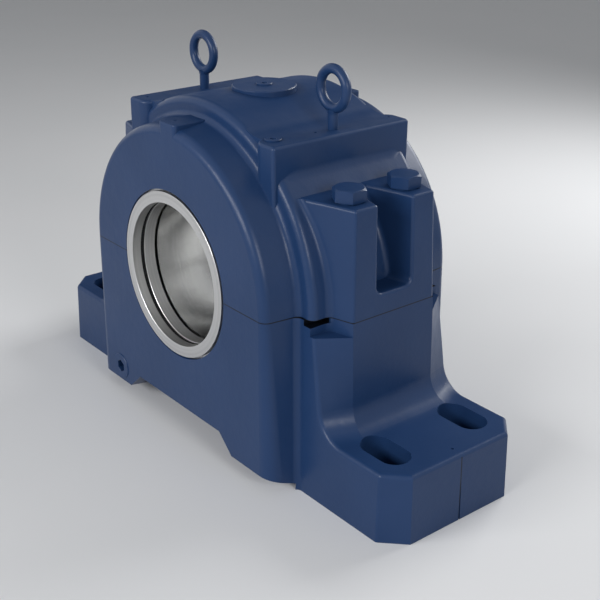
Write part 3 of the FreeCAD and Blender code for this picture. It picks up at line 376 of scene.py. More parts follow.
def ringed(form: BMesh, outline: Callable[[float], list[Point]], steps: int, turn: Callable[..., Vector]) -> None:
    """Add a solid whose outline changes with the angle about an upright axis.

    Args:
        form: Mesh that it goes into.
        outline: Gives reach and height of every corner at an angle.
        steps: Number of angles.
        turn: Gives the place in the frame.
    """
    angles = [2 * math.pi * step / steps for step in range(steps)]
    rows = []
    for ring in zip(*map(outline, angles)):
        rows.append([form.verts.new(turn(reach * math.cos(angle), reach * math.sin(angle), height))
                     for angle, (reach, height) in zip(angles, ring)])
    bridge(form, rows)


def hexagon_reach(flats: float, angle: float) -> float:
    """Return a hexagon's reach at an angle, one flat facing angle zero."""
    sixth = math.pi / 3
    away = (angle + sixth / 2) % sixth - sixth / 2
    return flats / 2 / math.cos(away)


def turned(profile: Sequence[Point], turn: Callable[[float, float, float], Vector],
           steps: int = 160) -> Mesh:
    """Turn a closed profile into a ring.

    Args:
        profile: Pairs of place along the axis and distance from it.
        turn: Gives the point for a place along, a distance and an angle.
        steps: Facets round the ring.

    Returns:
        The mesh.
    """
    form = bmesh.new()
    rows = []
    for step in range(steps):
        angle = 2 * math.pi * step / steps
        rows.append([form.verts.new(turn(along, reach, angle)) for along, reach in profile])
    bridge(form, rows + rows[:1])
    return from_bmesh(form)


def about_shaft(along: float, reach: float, angle: float) -> Vector:
    """Point about the shaft axis."""
    return Vector((reach * math.cos(angle), along, AXIS_HEIGHT + reach * math.sin(angle)))


def eased(profile: Sequence[Point], cut: float, share: float = 0.4) -> list[Point]:
    """Replace each corner of a closed profile by a small bevel.

    Args:
        profile: Corners in order.
        cut: Length taken off each side.
        share: Largest share of a side that one bevel takes.

    Returns:
        The corners with bevels.
    """
    result: list[Point] = []
    count = len(profile)
    for number, corner in enumerate(profile):
        here = Vector(corner)
        for other in (Vector(profile[number - 1]), Vector(profile[(number + 1) % count])):
            reach = min(cut, (other - here).length * share)
            result.append(tuple(here + (other - here).normalized() * reach))
    return result


class FormTree(NodeGarden):
    """Geometry tree that makes one repeated form."""

    def __init__(self, name: str, sizes: dict[str, float], shape: Object | None = None) -> None:
        """Start a tree.

        Args:
            name: Name of the tree.
            sizes: Named float inputs and their values.
            shape: Object that the tree repeats.
        """
        super().__init__(bpy.data.node_groups.new(name, "GeometryNodeTree"))
        face = self.tree.interface
        face.new_socket(name="Geometry", in_out="OUTPUT", socket_type="NodeSocketGeometry")
        self.sizes = sizes
        self.sockets = {}
        for label in sizes:
            socket = face.new_socket(name=label, in_out="INPUT", socket_type="NodeSocketFloat")
            self.sockets[label] = socket.identifier
        self.shape = shape
        if shape is not None:
            self.sockets["Shape"] = face.new_socket(
                name="Shape", in_out="INPUT", socket_type="NodeSocketObject").identifier
        self.start = self.add("NodeGroupInput")

    def size(self, label: str) -> NodeSocket:
        """Return the output of a named input."""
        return self.start.outputs[label]

    def shape_geometry(self) -> NodeSocket:
        """Return the repeated object's geometry."""
        return self.add("GeometryNodeObjectInfo", {"Object": self.size("Shape")}).outputs["Geometry"]

    def bake(self, result: NodeSocket, finish: Material) -> Mesh:
        """Finish the tree, run it and return a plain mesh.

        Args:
            result: Geometry to realise.
            finish: Material of the mesh.

        Returns:
            The mesh.
        """
        real = self.add("GeometryNodeRealizeInstances", {0: result})
        dressed = self.add("GeometryNodeSetMaterial", {0: real.outputs[0], "Material": finish})
        self.add("NodeGroupOutput", {0: dressed.outputs[0]})
        holder = bpy.data.objects.new("holder", bpy.data.meshes.new("holder"))
        bpy.context.scene.collection.objects.link(holder)
        modifier = holder.modifiers.new("form", "NODES")
        modifier.node_group = self.tree
        for label, value in self.sizes.items():
            modifier[self.sockets[label]] = value
        if self.shape is not None:
            modifier[self.sockets["Shape"]] = self.shape
        graph = bpy.context.evaluated_depsgraph_get()
        graph.update()
        mesh = bpy.data.meshes.new_from_object(holder.evaluated_get(graph))
        holder.modifiers.clear()
        bpy.data.objects.remove(holder)
        if self.shape is not None:
            bpy.data.objects.remove(self.shape)
        return mesh


# Sub-assemblies
@dataclass
class CapBolts:
    """Hexagon bolts that hold the cap down."""

    reach: float = 0.1825
    pitch: float = 0.0365
    seat: float = 0.310
    flats: float = 0.031
    head: float = 0.014
    rise: float = 0.0008
    shank: float = 0.010
    foot: float = 0.149
    crown: float = 0.475
    bevel: float = 30.0
    end_bevel: float = 0.0015
    edge_ease: float = 0.0004
    brow_drop: float = 0.0003
    brow_lift: float = 0.0001
    crown_ease: float = 0.0008
    steps: int = 72
    smooth: float = 20.0

    def outline(self, angle: float) -> list[Point]:
        """Return reach and height of each corner at an angle, with the seat at zero.

        Args:
            angle: Angle about the axis.

        Returns:
            The corners in order, from the axis back to the axis.
        """
        crown, edge, foot = self.crown * self.flats, hexagon_reach(self.flats, angle), self.foot - self.seat
        return [
            (0.0, foot), (self.shank - self.end_bevel, foot), (self.shank, foot + self.end_bevel), (self.shank, 0.0),
            (crown, 0.0), (crown, self.rise), (edge - self.edge_ease, self.rise), (edge, self.rise + self.edge_ease),
            (edge, self.brow(edge) - self.brow_drop), (edge - self.edge_ease, self.brow(edge) + self.brow_lift),
            (crown, self.head - self.brow_lift), (crown - self.crown_ease, self.head), (0.0, self.head),
        ]

    def one(self) -> Object:
        """Return one bolt about its own axis, seat at zero."""
        form = bmesh.new()
        ringed(form, self.outline, self.steps, lambda *spot: Vector(spot))
        mesh = from_bmesh(form)
        shape = bpy.data.objects.new("bolt_shape", mesh)
        bpy.context.scene.collection.objects.link(shape)
        return shape

    def brow(self, reach: float) -> float:
        """Return the height of the bevelled top edge at a reach."""
        return self.head - max(0.0, reach - self.crown * self.flats) * math.tan(math.radians(self.bevel))

    def build(self, finish: Material) -> Object:
        """Repeat the bolt at its four places.

        Args:
            finish: Paint of the bolts.

        Returns:
            The bolts as one piece.
        """
        tree = FormTree("bolt_places", {"Reach": self.reach, "Pitch": self.pitch, "Seat": self.seat}, self.one())
        double = [tree.math("MULTIPLY", tree.size(label), 2.0) for label in ("Reach", "Pitch")]
        grid = tree.add("GeometryNodeMeshGrid", {
            "Size X": double[0], "Size Y": double[1], "Vertices X": 2, "Vertices Y": 2})
        lift = tree.add("ShaderNodeCombineXYZ", {2: tree.size("Seat")})
        placed = tree.add("GeometryNodeTransform", {"Geometry": grid.outputs[0], "Translation": lift.outputs[0]})
        copies = tree.add("GeometryNodeInstanceOnPoints", {
            "Points": placed.outputs[0], "Instance": tree.shape_geometry()})
        piece = put_down("cap_bolts_dressed", tree.bake(copies.outputs[0], finish), finish, self.smooth)
        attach(piece, Body.HOUSING.value)
        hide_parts("cap_bolts")
        return piece


@dataclass
class RootBlend:
    """Hollow blend between an upright wall of a bolt tower and the bearing drum."""

    right: int
    back: int
    label: str = "root_blend"
    drum: float = 0.1865
    column_half: float = 0.214
    column_flat: float = 0.055
    slant: float = 16.0
    draft: float = 1.9
    low_radius: float = 0.0080
    high_radius: float = 0.0062
    low: float = AXIS_HEIGHT + 0.0001
    top: float = 0.3097
    start: float = -3.0
    sweep: float = 44.0
    lap: float = 0.0012
    sink: float = 0.0003
    depth: float = 0.003
    smooth: float = 9.0
    steps: int = 88
    arcs: int = 18

    def row(self, angle: float, radius: float) -> list[Vector]:
        """Return one section of the blend at an angle round the drum, for the right front corner.

        Args:
            angle: Angle above the parting plane.
            radius: Radius of the hollow.

        Returns:
            Points of the closed section, relative to the shaft axis.
        """
        slant, draft = math.radians(self.slant), math.radians(self.draft)
        normal = Vector((math.sin(slant) * math.cos(draft), -math.cos(slant) * math.cos(draft), math.sin(draft)))
        foot = Vector((self.column_half, -self.column_flat, 0.0))
        radial = Vector((math.cos(angle), 0.0, math.sin(angle)))
        centre = radial * (self.drum + radius)
        lead = radius - normal.x * (centre.x - foot.x) - normal.z * centre.z
        centre.y = foot.y + lead / normal.y
        axis = normal.cross(radial).normalized()
        first = centre - radial * radius
        last = centre - normal * radius
        lap = axis.cross(radial).normalized() * self.lap
        section = [first + lap - radial * self.sink]
        for step in range(self.arcs + 1):
            section.append(centre - radial.slerp(normal, step / self.arcs) * radius)
        lap = normal.cross(axis).normalized() * self.lap
        section.append(last + lap - normal * self.sink)
        corner = radial * self.drum
        corner.y = foot.y - (normal.x * (corner.x - foot.x) + normal.z * corner.z) / normal.y
        section.append(corner - radial * self.depth - normal * self.depth)
        return section

    def build(self, finish: Material) -> Object:
        """Build the blend of one corner.

        Args:
            finish: Paint of the castings.

        Returns:
            The piece.
        """
        form = bmesh.new()
        rows = []
        for step in range(self.steps + 1):
            part = step / self.steps
            radius = self.low_radius + (self.high_radius - self.low_radius) * part
            section = self.row(math.radians(self.start + self.sweep * part), radius)
            rows.append([form.verts.new((
                spot.x * self.right, spot.y * -self.back, spot.z + AXIS_HEIGHT)) for spot in section])
        bridge(form, rows, ends=True)
        for level, out in ((self.top, 1), (self.low, -1)):
            cut = bmesh.ops.bisect_plane(
                form, geom=form.verts[:] + form.edges[:] + form.faces[:], plane_co=(0, 0, level),
                plane_no=(0, 0, out), clear_outer=True)
            edges = [item for item in cut["geom_cut"] if isinstance(item, BMEdge)]
            bmesh.ops.holes_fill(form, edges=edges)
        sides = "right" if self.right > 0 else "left", "back" if self.back > 0 else "front"
        name = "%s_%s_%s" % (self.label, *sides)
        piece = put_down(name, from_bmesh(form), finish, self.smooth)
        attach(piece, Body.HOUSING.value)
        return piece


@dataclass
class GapBlend(RootBlend):
    """The same blend between a wall of the gap between two cap bolts and the drum."""

    label: str = "gap_blend"
    column_flat: float = -0.024
    slant: float = 13.04
    draft: float = 0.0
    low_radius: float = 0.0065
    high_radius: float = 0.0065
    low: float = 0.2175


@dataclass
class PadBlend:
    """Hollow blend between the outer face of a lifting pad and the slope under it."""

    right: int
    wall: float = 0.132
    crease: float = 0.3268
    turn: float = 43.6
    radius: float = 0.018
    half: float = 0.0765
    runout: float = 0.014
    least: float = 0.02
    depth: float = 0.002
    smooth: float = 9.0
    steps: int = 60
    arcs: int = 12

    def row(self, along: float) -> list[Vector]:
        """Return one section of the blend, which runs out at both ends.

        Args:
            along: Place along the shaft.

        Returns:
            Points of the closed section on the right side.
        """
        part = min(1.0, (self.half - abs(along)) / self.runout)
        radius = self.radius * max(part * (2.0 - part), self.least)
        turn = math.radians(self.turn)
        centre = Vector((self.wall + radius, along, self.crease + radius * math.tan(turn / 2)))
        section = [Vector((self.wall - self.depth, along, self.crease - self.depth))]
        for step in range(self.arcs + 1):
            angle = turn * step / self.arcs
            section.append(centre - Vector((math.cos(angle), 0.0, math.sin(angle))) * radius)
        return section

    def build(self, finish: Material) -> Object:
        """Build the blend of one pad.

        Args:
            finish: Paint of the castings.

        Returns:
            The piece.
        """
        form = bmesh.new()
        rows = []
        for step in range(self.steps + 1):
            section = self.row(self.half * (2 * step / self.steps - 1))
            rows.append([form.verts.new((spot.x * self.right, spot.y, spot.z)) for spot in section])
        bridge(form, rows, ends=True)
        name = "pad_blend_%s" % ("right" if self.right > 0 else "left")
        piece = put_down(name, from_bmesh(form), finish, self.smooth)
        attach(piece, Body.HOUSING.value)
        return piece


@dataclass
class Eyebolts:
    """Lifting eyebolts on the pads."""

    reach: float = 0.114
    seat: float = 0.360
    rise: float = 0.0415
    ring: float = 0.01977
    wire: float = 0.0051
    shank: float = 0.0054
    thread: float = 0.022
    neck: float = 0.0066
    bite: float = 0.001
    flare: float = 0.005
    stem_steps: int = 40
    smooth: float = 40.0
    ring_steps: int = 96
    wire_steps: int = 28

    def build(self, finish: Material) -> Object:
        """Build one eyebolt by a tree and repeat it on both pads.

        Args:
            finish: Paint of the eyebolts.

        Returns:
            The eyebolts as one piece.
        """
        tree = FormTree("eyebolt_places", {
            "Reach": self.reach, "Seat": self.seat, "Rise": self.rise, "Ring": self.ring, "Wire": self.wire,
            "Shank": self.shank, "Thread": self.thread, "Neck": self.neck})
        path = tree.add("GeometryNodeCurvePrimitiveCircle", {
            "Resolution": self.ring_steps, "Radius": tree.size("Ring")})
        section = tree.add("GeometryNodeCurvePrimitiveCircle", {
            "Resolution": self.wire_steps, "Radius": tree.size("Wire")})
        loop = tree.add("GeometryNodeCurveToMesh", {"Curve": path.outputs[0], "Profile Curve": section.outputs[0]})
        lift = tree.add("ShaderNodeCombineXYZ", {2: tree.size("Rise")})
        raised = tree.add("GeometryNodeTransform", {
            "Geometry": loop.outputs[0], "Translation": lift.outputs[0], "Rotation": (math.pi / 2, 0.0, 0.0)})
        under = tree.math("SUBTRACT", tree.math("SUBTRACT", tree.size("Rise"), tree.size("Ring")), self.bite)
        length = tree.math("ADD", under, tree.size("Thread"))
        stem = self.tube(tree, tree.size("Shank"), tree.size("Shank"), length,
                         tree.math("MULTIPLY", tree.size("Thread"), -1.0))
        flare = self.tube(tree, tree.size("Shank"), tree.size("Neck"), self.flare,
                          tree.math("SUBTRACT", under, self.flare))
        whole = tree.add("GeometryNodeJoinGeometry")
        for part in (raised.outputs[0], stem, flare):
            tree.tree.links.new(part, whole.inputs[0])
        start = tree.add("ShaderNodeCombineXYZ", {
            0: tree.math("MULTIPLY", tree.size("Reach"), -1.0), 2: tree.size("Seat")})
        stride = tree.add("ShaderNodeCombineXYZ", {0: tree.math("MULTIPLY", tree.size("Reach"), 2.0)})
        places = tree.add("GeometryNodeMeshLine", {
            "Count": 2, "Start Location": start.outputs[0], "Offset": stride.outputs[0]})
        copies = tree.add("GeometryNodeInstanceOnPoints", {
            "Points": places.outputs[0], "Instance": whole.outputs[0]})
        piece = put_down("eyebolts_dressed", tree.bake(copies.outputs[0], finish), finish, self.smooth)
        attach(piece, Body.HOUSING.value)
        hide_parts("eyebolts")
        return piece

    def tube(self, tree: FormTree, foot: object, head: object, length: object, start: object) -> NodeSocket:
        """Add an upright round bar.

        Args:
            tree: Tree that the nodes go into.
            foot: Radius at its foot.
            head: Radius at its head.
            length: Its length.
            start: Height of its foot.

        Returns:
            Its geometry.
        """
        bar = tree.add("GeometryNodeMeshCone", {
            "Vertices": self.stem_steps, "Radius Top": head, "Radius Bottom": foot, "Depth": length})
        lift = tree.add("ShaderNodeCombineXYZ", {2: start})
        return tree.add("GeometryNodeTransform", {
            "Geometry": bar.outputs["Mesh"], "Translation": lift.outputs[0]}).outputs[0]


@dataclass
class SocketPlug:
    """Screwed plug with a bevelled head and a hexagon socket."""

    node: str
    centre: Triple
    forward: bool = False
    radius: float = 0.0086
    rise: float = 0.0018
    bevel: float = 0.0005
    flats: float = 0.0062
    socket: float = 0.0055
    thread: float = 0.005
    length: float = 0.014
    ease: float = 0.0003
    steps: int = 60
    smooth: float = 25.0

    def outline(self, angle: float) -> list[Point]:
        """Return reach and height of each corner at an angle.

        Args:
            angle: Angle about the axis.

        Returns:
            The corners in order, from the axis back to the axis.
        """
        inner, floor = hexagon_reach(self.flats, angle), self.rise - self.socket
        return [
            (0.0, floor), (inner, floor), (inner, self.rise - self.ease), (inner + self.ease, self.rise),
            (self.radius - self.bevel, self.rise), (self.radius, self.rise - self.bevel), (self.radius, 0.0),
            (self.thread, 0.0), (self.thread, -self.length), (0.0, -self.length),
        ]

    def turn(self, across: float, aside: float, height: float) -> Vector:
        """Return the place in the frame of a point about the plug's own axis."""
        spot = (across, -height, aside) if self.forward else (across, aside, height)
        return Vector(self.centre) + Vector(spot)

    def build(self, finish: Material) -> Object:
        """Build the plug.

        Args:
            finish: Its paint.

        Returns:
            The piece.
        """
        form = bmesh.new()
        ringed(form, self.outline, self.steps, self.turn)
        piece = put_down(self.node + "_dressed", from_bmesh(form), finish, self.smooth)
        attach(piece, Body.HOUSING.value)
        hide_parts(self.node)
        return piece


@dataclass
class CapShell:
    """Cap casting with a rounded seal rim under both crests, upright crest sides and a lower top boss."""

    face: float = 0.1263
    rim: float = 0.162
    root: float = 0.167
    drum_half: float = 0.085
    rounding: float = 0.010
    arcs: int = 12
    lift: float = 0.00004
    front_room: float = 0.003
    back_room: float = 0.006
    crest_top: float = 0.3625
    crest_half: float = 0.0145
    crest_corner: float = 0.0045
    crest_end: float = 0.087
    crest_low: float = 0.1532
    crest_rise: float = 0.0002
    crest_proud: float = 0.00002
    crest_arcs: int = 8
    crest_eases: tuple[Point, ...] = ((0.0, 0.0010), (0.0003, 0.0003), (0.0010, 0.0))
    mark_place: Point = (-0.003, -0.1123)
    mark_radius: float = 0.0016
    mark_length: float = 0.004
    mark_steps: int = 24
    boss_level: float = 0.385
    boss_radius: float = 0.0340
    boss_bevel: float = 0.0012
    boss_clear: float = 0.045
    boss_room: float = 0.01
    boss_steps: int = 96
    cut_start: float = 76.0
    cut_sweep: float = 28.0
    cut_top: float = 0.19
    cut_steps: int = 30
    smooth: float = 28.0
    inward: float = 0.03
    nearness: float = 0.00001
    agreement: float = 0.98
    least: float = 0.5
    leaning: float = 0.6

    def slope(self) -> float:
        """Return the growth of the seal drum's radius per length."""
        return (self.root - self.rim) / (self.face - self.drum_half)

    def rim_path(self) -> list[Point]:
        """Return the seal drum's outline from its face inwards, as place along and radius."""
        lean = math.atan(self.slope())
        centre = (self.face - self.rounding,
                  self.rim + self.slope() * self.rounding - self.rounding / math.cos(lean))
        path = [(self.face + self.front_room, centre[1])]
        for step in range(self.arcs + 1):
            angle = (math.pi / 2 - lean) * step / self.arcs
            path.append((centre[0] + self.rounding * math.cos(angle), centre[1] + self.rounding * math.sin(angle)))
        end = self.crest_end + self.back_room
        path.append((end, self.rim + self.slope() * (self.face - end)))
        return path

    def rim_cutter(self, side: int) -> Object:
        """Return a block that clears everything above the rounded rim near a crest.

        Args:
            side: -1 in front and 1 at the back.

        Returns:
            The block.
        """
        path = [(along, reach + self.lift) for along, reach in self.rim_path()]
        path += [(path[-1][0], self.cut_top), (path[0][0], self.cut_top)]
        form = bmesh.new()
        rows = []
        for step in range(self.cut_steps + 1):
            angle = math.radians(self.cut_start + self.cut_sweep * step / self.cut_steps)
            rows.append([form.verts.new(about_shaft(side * along, reach, angle)) for along, reach in path])
        bridge(form, rows, ends=True)
        return self.tool("rim_cutter", from_bmesh(form))

    def boss_cutter(self) -> Object:
        """Return a turned block that lowers the top boss and bevels its edge."""
        level, low = self.boss_level, self.boss_level - self.boss_bevel
        rows = [(level, 0.0), (level, self.boss_radius), (low, self.boss_radius + self.boss_bevel),
                (low, self.boss_clear), (level + self.boss_room, self.boss_clear), (level + self.boss_room, 0.0)]
        form = bmesh.new()
        rings = []
        for step in range(self.boss_steps):
            angle = 2 * math.pi * step / self.boss_steps
            rings.append([form.verts.new((reach * math.cos(angle), reach * math.sin(angle), height))
                          for height, reach in rows])
        bridge(form, rings + rings[:1], closed=False)
        return self.tool("boss_cutter", from_bmesh(form))

    @staticmethod
    def tool(name: str, mesh: Mesh) -> Object:
        """Link a mesh as a working object."""
        made = bpy.data.objects.new(name, mesh)
        bpy.context.scene.collection.objects.link(made)
        return made

    def carve(self, work: Object, tools: list[Object]) -> Mesh:
        """Cut tools out of a working object, then remove them all.

        Args:
            work: Object that is cut.
            tools: Closed objects to take away.

        Returns:
            The mesh that is left.
        """
        for tool in tools:
            cut = work.modifiers.new(tool.name, "BOOLEAN")
            cut.operation = "DIFFERENCE"
            cut.solver = "EXACT"
            cut.object = tool
        graph = bpy.context.evaluated_depsgraph_get()
        graph.update()
        mesh = bpy.data.meshes.new_from_object(work.evaluated_get(graph))
        for used in [work, *tools]:
            bpy.data.objects.remove(used)
        return mesh

    def mark(self) -> Object:
        """Return a small bar for the drill centre mark on the front crest."""
        form = bmesh.new()
        place = Matrix.Translation((*self.mark_place, self.crest_top))
        bmesh.ops.create_cone(form, cap_ends=True, segments=self.mark_steps, radius1=self.mark_radius,
                              radius2=self.mark_radius, depth=self.mark_length, matrix=place)
        return self.tool("crest_mark", from_bmesh(form))

    def crest(self, form: BMesh, side: int) -> None:
        """Add one crest with rounded upright corners.

        Args:
            form: Mesh that it goes into.
            side: -1 in front and 1 at the back.
        """
        rows = [[form.verts.new((x, side * y, AXIS_HEIGHT + self.crest_low)) for x, y in self.crest_plan(0.0)]]
        for inset, drop in self.crest_eases:
            rows.append([form.verts.new((x, side * y, self.crest_top + self.crest_rise - drop))
                         for x, y in self.crest_plan(inset)])
        bridge(form, rows, ends=True)

    def crest_plan(self, inset: float) -> list[Point]:
        """Return the crest's plan drawn in by an inset, on the positive side.

        Args:
            inset: Length that the outline is drawn in by.

        Returns:
            Corners of the plan.
        """
        half, corner = self.crest_half - inset, self.crest_corner - inset
        end = self.face + self.crest_proud - inset
        plan = [(half, self.crest_end)]
        for turn, side in ((0.0, 1), (math.pi / 2, -1)):
            for step in range(self.crest_arcs + 1):
                angle = turn + math.pi / 2 * step / self.crest_arcs
                plan.append((side * (half - corner) + corner * math.cos(angle),
                             end - corner + corner * math.sin(angle)))
        return plan + [(-half, self.crest_end)]

    def settle(self, mesh: Mesh) -> None:
        """Shade each corner that lies on the solid cap as the solid is shaded there.

        Args:
            mesh: Mesh of the carved cap.
        """
        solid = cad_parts["housing_cap"].data
        solid.calc_loop_triangles()
        triangles = [(tuple(item.vertices), tuple(item.loops)) for item in solid.loop_triangles]
        tree = BVHTree.FromPolygons([vert.co for vert in solid.vertices], [item[0] for item in triangles])
        normals = [item.vector.copy() for item in mesh.corner_normals]
        for face in mesh.polygons:
            for loop in face.loop_indices:
                spot = mesh.vertices[mesh.loops[loop].vertex_index].co
                found = tree.find_nearest(spot.lerp(face.center, self.inward), self.nearness)
                if found[0] is None or found[1].dot(face.normal) < self.agreement:
                    continue
                corners, loops = triangles[found[2]]
                shares = poly_3d_calc([solid.vertices[corner].co for corner in corners], spot)
                normal = Vector((0, 0, 0))
                for share, item in zip(shares, loops):
                    normal += solid.corner_normals[item].vector * share
                if normal.length > self.least and normal.normalized().dot(face.normal) > self.leaning:
                    normals[loop] = normal.normalized()
        mesh.normals_split_custom_set(normals)

    def build(self, finish: Material) -> Object:
        """Build the cap from a copy of its solid.

        Args:
            finish: Paint of the castings.

        Returns:
            The piece.
        """
        form = bmesh.new()
        form.from_mesh(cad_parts["housing_cap"].data)
        bmesh.ops.remove_doubles(form, verts=form.verts, dist=MERGE)
        mesh = bpy.data.meshes.new("cap_form")
        form.to_mesh(mesh)
        form.free()
        tools = [self.rim_cutter(-1), self.rim_cutter(1), self.boss_cutter()]
        cleared = self.carve(self.tool("cap_form", mesh), tools)
        form = bmesh.new()
        form.from_mesh(cleared)
        crests = bmesh.new()
        for side in (-1, 1):
            self.crest(crests, side)
        form.from_mesh(self.carve(self.tool("crests", from_bmesh(crests)), [self.mark()]))
        form.to_mesh(cleared)
        form.free()
        piece = put_down("housing_cap_dressed", cleared, finish, self.smooth)
        even = piece.modifiers.new("even", "WEIGHTED_NORMAL")
        even.keep_sharp = True
        graph = bpy.context.evaluated_depsgraph_get()
        graph.update()
        settled = bpy.data.meshes.new_from_object(piece.evaluated_get(graph))
        piece.modifiers.clear()
        self.settle(settled)
        piece.data = settled
        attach(piece, Body.HOUSING.value)
        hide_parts("housing_cap")
        return piece


@dataclass
class SealRing:
    """Labyrinth ring with two fins, its groove and the seal cord in it."""

    side: Side
    bore: float = 0.080
    rim: float = 0.0923
    fin: float = 0.104
    face: float = 0.1273
    back: float = 0.098
    cord_place: float = 0.114
    cord_wire: float = 0.0023
    fins: tuple[float, float] = (0.119, 0.107)
    fin_width: float = 0.004
    proud: float = 0.0003
    room: float = 0.0002
    slack: float = 0.00005
    ease: float = 0.0003
    ring_steps: int = 200
    cord_arcs: int = 12
    cord_smooth: float = 60.0

    def profile(self) -> list[Point]:
        """Return the ring's section, on the positive side."""
        half = self.cord_wire
        deep = self.bore + self.proud + 2 * self.cord_wire + self.room
        rows = [
            (self.back, self.bore), (self.cord_place - half, self.bore), (self.cord_place - half, deep),
            (self.cord_place + half, deep), (self.cord_place + half, self.bore), (self.face, self.bore),
            (self.face, self.rim),
        ]
        for place in self.fins:
            rows += [
                (place + self.fin_width / 2, self.rim), (place + self.fin_width / 2, self.fin),
                (place - self.fin_width / 2, self.fin), (place - self.fin_width / 2, self.rim),
            ]
        return rows + [(self.back, self.rim)]

    def build(self, finish: Material, rubber: Material) -> list[Object]:
        """Build the ring and its cord.

        Args:
            finish: Steel of the ring.
            rubber: Rubber of the cord.

        Returns:
            The two pieces.
        """
        label = self.side.name.lower()
        rows = [(along * self.side.value, reach) for along, reach in eased(self.profile(), self.ease)]
        ring = put_down("seal_ring_" + label, turned(rows, about_shaft, self.ring_steps), finish)
        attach(ring, Body.ROTOR.value)
        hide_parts("labyrinth_ring_" + label)
        wire = self.cord_wire - self.slack
        centre = self.bore + self.proud + self.cord_wire
        rows = []
        for step in range(self.cord_arcs):
            angle = 2 * math.pi * step / self.cord_arcs
            rows.append((self.side.value * self.cord_place + wire * math.cos(angle), centre + wire * math.sin(angle)))
        cord = put_down("seal_cord_" + label + "_dressed", turned(rows, about_shaft), rubber, self.cord_smooth)
        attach(cord, Body.ROTOR.value)
        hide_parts("seal_cord_" + label)
        return [ring, cord]


@dataclass
class Finishes:
    """All finishes of the block, built once."""

    paint: Material = field(default_factory=HousingPaint().build)
    small_paint: Material = field(default_factory=HousingPaint(name="blue_paint_fittings", parted=False).build)
    bright: Material = field(default_factory=TurnedSteel().build)
    satin: Material = field(default_factory=TurnedSteel(
        "satin_steel", tone=(0.56, 0.56, 0.56), pale=(0.66, 0.66, 0.66), roughness=(0.28, 0.40)).build)
    ground: Material = field(default_factory=TurnedSteel(
        "ground_steel", tone=(0.50, 0.51, 0.53), pale=(0.58, 0.59, 0.61), roughness=(0.12, 0.2), pitch=2600.0).build)
    brass: Material = field(default_factory=TurnedSteel(
        "cage_brass", tone=(0.60, 0.42, 0.17), pale=(0.70, 0.50, 0.22), roughness=(0.28, 0.40), pitch=3000.0).build)
    rubber: Material = field(default_factory=SealRubber().build)


@dataclass
class CadPieces:
    """Solids whose own shape is shown, with their finishes."""

    finishes: Finishes

    def build(self) -> None:
        """Dress each solid."""
        table = {
            self.finishes.paint: ("housing_base", "housing_cap"),
            self.finishes.small_paint: ("cap_bolts", "eyebolts", "top_plug", "pad_plug", "drain_plug"),
            self.finishes.bright: ("adapter_sleeve", "labyrinth_ring_front", "labyrinth_ring_back"),
            self.finishes.brass: ("cage_front", "cage_back"),
            self.finishes.rubber: ("seal_cord_front", "seal_cord_back"),
        }
        chosen = {node: finish for finish, nodes in table.items() for node in nodes}
        for node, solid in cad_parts.items():
            finish = chosen.get(node, self.finishes.ground)
            if solid.data.materials:
                for slot in solid.material_slots:
                    slot.material = finish
            else:
                solid.data.materials.append(finish)


@dataclass(frozen=True)
class Lamp:
    """Soft lamp with a rectangular panel."""

    name: str
    place: Triple
    panel: Point
    power: float


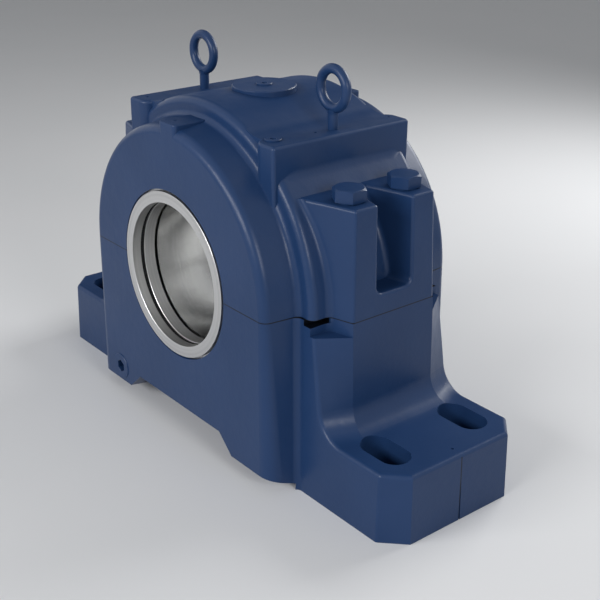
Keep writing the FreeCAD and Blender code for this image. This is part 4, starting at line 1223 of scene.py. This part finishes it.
@dataclass
class Studio:
    """Camera, lamps, floor and backdrop."""

    eye: Triple = (0.9518, -0.7217, 0.6585)
    forward: Triple = (-0.7102, 0.5768, -0.4037)
    roll: float = -0.36
    lens: float = 67.15
    sensor: float = 36.0
    sight: float = 50.0
    target: Triple = (0.0, 0.0, 0.18)
    lamps: tuple[Lamp, ...] = (
        Lamp("front_lamp", (0.0, -2.2, 1.2), (2.0, 0.6), 40.0),
        Lamp("side_lamp", (2.2, -0.4, 1.1), (0.7, 0.7), 15.0),
        Lamp("back_lamp", (0.1, 1.3, 0.9), (1.0, 0.6), 13.0),
    )
    soft: tuple[float, float, float, float] = (0.80, 0.82, 0.85, 1.0)
    soft_strength: float = 0.25
    pale: tuple[float, float, float, float] = (0.86, 0.87, 0.88, 1.0)
    floor_half: float = 6.0
    floor_drop: float = 0.0002
    floor_mottle: float = 3.0
    floor_deep: Triple = (0.74, 0.75, 0.76)
    floor_light: Triple = (0.78, 0.78, 0.79)
    floor_roughness: float = 0.8

    def camera(self) -> None:
        """Place the camera at the viewing angle."""
        ahead = Vector(self.forward).normalized()
        right = ahead.cross(Vector((0, 0, 1))).normalized()
        up = right.cross(ahead)
        turn = Matrix.Rotation(math.radians(self.roll), 3, ahead)
        right, up = turn @ right, turn @ up
        data = bpy.data.cameras.new("camera")
        data.lens = self.lens
        data.sensor_width = self.sensor
        data.sensor_fit = "HORIZONTAL"
        data.clip_end = self.sight
        camera = bpy.data.objects.new("camera", data)
        pose = Matrix((right, up, -ahead)).transposed().to_4x4()
        pose.translation = Vector(self.eye)
        camera.matrix_world = pose
        bpy.context.scene.collection.objects.link(camera)
        bpy.context.scene.camera = camera

    def hang(self, lamp: Lamp) -> None:
        """Hang one lamp that faces the block.

        Args:
            lamp: Its name, place, panel and power.
        """
        data = bpy.data.lights.new(lamp.name, "AREA")
        data.shape = "RECTANGLE"
        data.size, data.size_y = lamp.panel
        data.energy = lamp.power
        hung = bpy.data.objects.new(lamp.name, data)
        hung.location = lamp.place
        aim = Vector(self.target) - Vector(lamp.place)
        hung.rotation_euler = aim.to_track_quat("-Z", "Y").to_euler()
        bpy.context.scene.collection.objects.link(hung)

    def backdrop(self) -> None:
        """Light the surroundings evenly and show them white."""
        world = bpy.data.worlds.new("studio")
        bpy.context.scene.world = world
        world.use_nodes = True
        garden = NodeGarden(world.node_tree)
        ray = garden.add("ShaderNodeLightPath")
        soft = world.node_tree.nodes["Background"]
        soft.inputs["Color"].default_value = self.soft
        soft.inputs["Strength"].default_value = self.soft_strength
        pale = garden.add("ShaderNodeBackground", {"Color": self.pale, "Strength": 1.0})
        seen = garden.math("MAXIMUM", ray.outputs["Is Camera Ray"], garden.math(
            "MAXIMUM", ray.outputs["Is Glossy Ray"], ray.outputs["Is Transmission Ray"]))
        mix = garden.add("ShaderNodeMixShader", {0: seen, 1: soft.outputs[0], 2: pale.outputs[0]})
        world.node_tree.links.new(mix.outputs[0], world.node_tree.nodes["World Output"].inputs[0])

    def floor(self) -> None:
        """Lay a plain pale floor."""
        form = bmesh.new()
        bmesh.ops.create_grid(form, x_segments=1, y_segments=1, size=self.floor_half)
        for vert in form.verts:
            vert.co.z = -self.floor_drop
        mesh = bpy.data.meshes.new("floor")
        form.to_mesh(mesh)
        form.free()
        garden = ShaderGarden("floor_pale")
        garden.join("Base Color", garden.tint(garden.noise(self.floor_mottle), self.floor_deep, self.floor_light))
        garden.shader.inputs["Roughness"].default_value = self.floor_roughness
        floor = bpy.data.objects.new("floor", mesh)
        mesh.materials.append(garden.material)
        bpy.context.scene.collection.objects.link(floor)

    def build(self) -> None:
        """Set up the studio."""
        bpy.context.scene.view_settings.view_transform = "Standard"
        self.camera()
        for lamp in self.lamps:
            self.hang(lamp)
        self.backdrop()
        self.floor()


def main() -> None:
    """Build the studio and every sub-assembly in order."""
    logging.basicConfig(level=logging.INFO, format="%(message)s")
    Studio().build()
    finishes = Finishes()
    CadPieces(finishes).build()
    made = [CapBolts().build(finishes.small_paint), CapShell().build(finishes.paint)]
    for right in (1, -1):
        made.append(PadBlend(right).build(finishes.paint))
        for back in (1, -1):
            made.append(RootBlend(right, back).build(finishes.paint))
            made.append(GapBlend(right, back).build(finishes.paint))
    made.append(Eyebolts().build(finishes.small_paint))
    plugs = (
        SocketPlug("top_plug", (0.0, 0.0, 0.385)),
        SocketPlug("pad_plug", (0.1096, -0.0728, 0.360)),
        SocketPlug("drain_plug", (-0.124, -0.1263, 0.036), forward=True, radius=0.0158, rise=0.00095,
                   flats=0.0135, socket=0.010, thread=0.010, length=0.016),
    )
    made += [plug.build(finishes.small_paint) for plug in plugs]
    for side in Side:
        made += SealRing(side).build(finishes.satin, finishes.rubber)
    for piece in made:
        LOG.info("%s: %d faces", piece.name, len(piece.data.polygons))


if __name__ == "__main__":
    main()
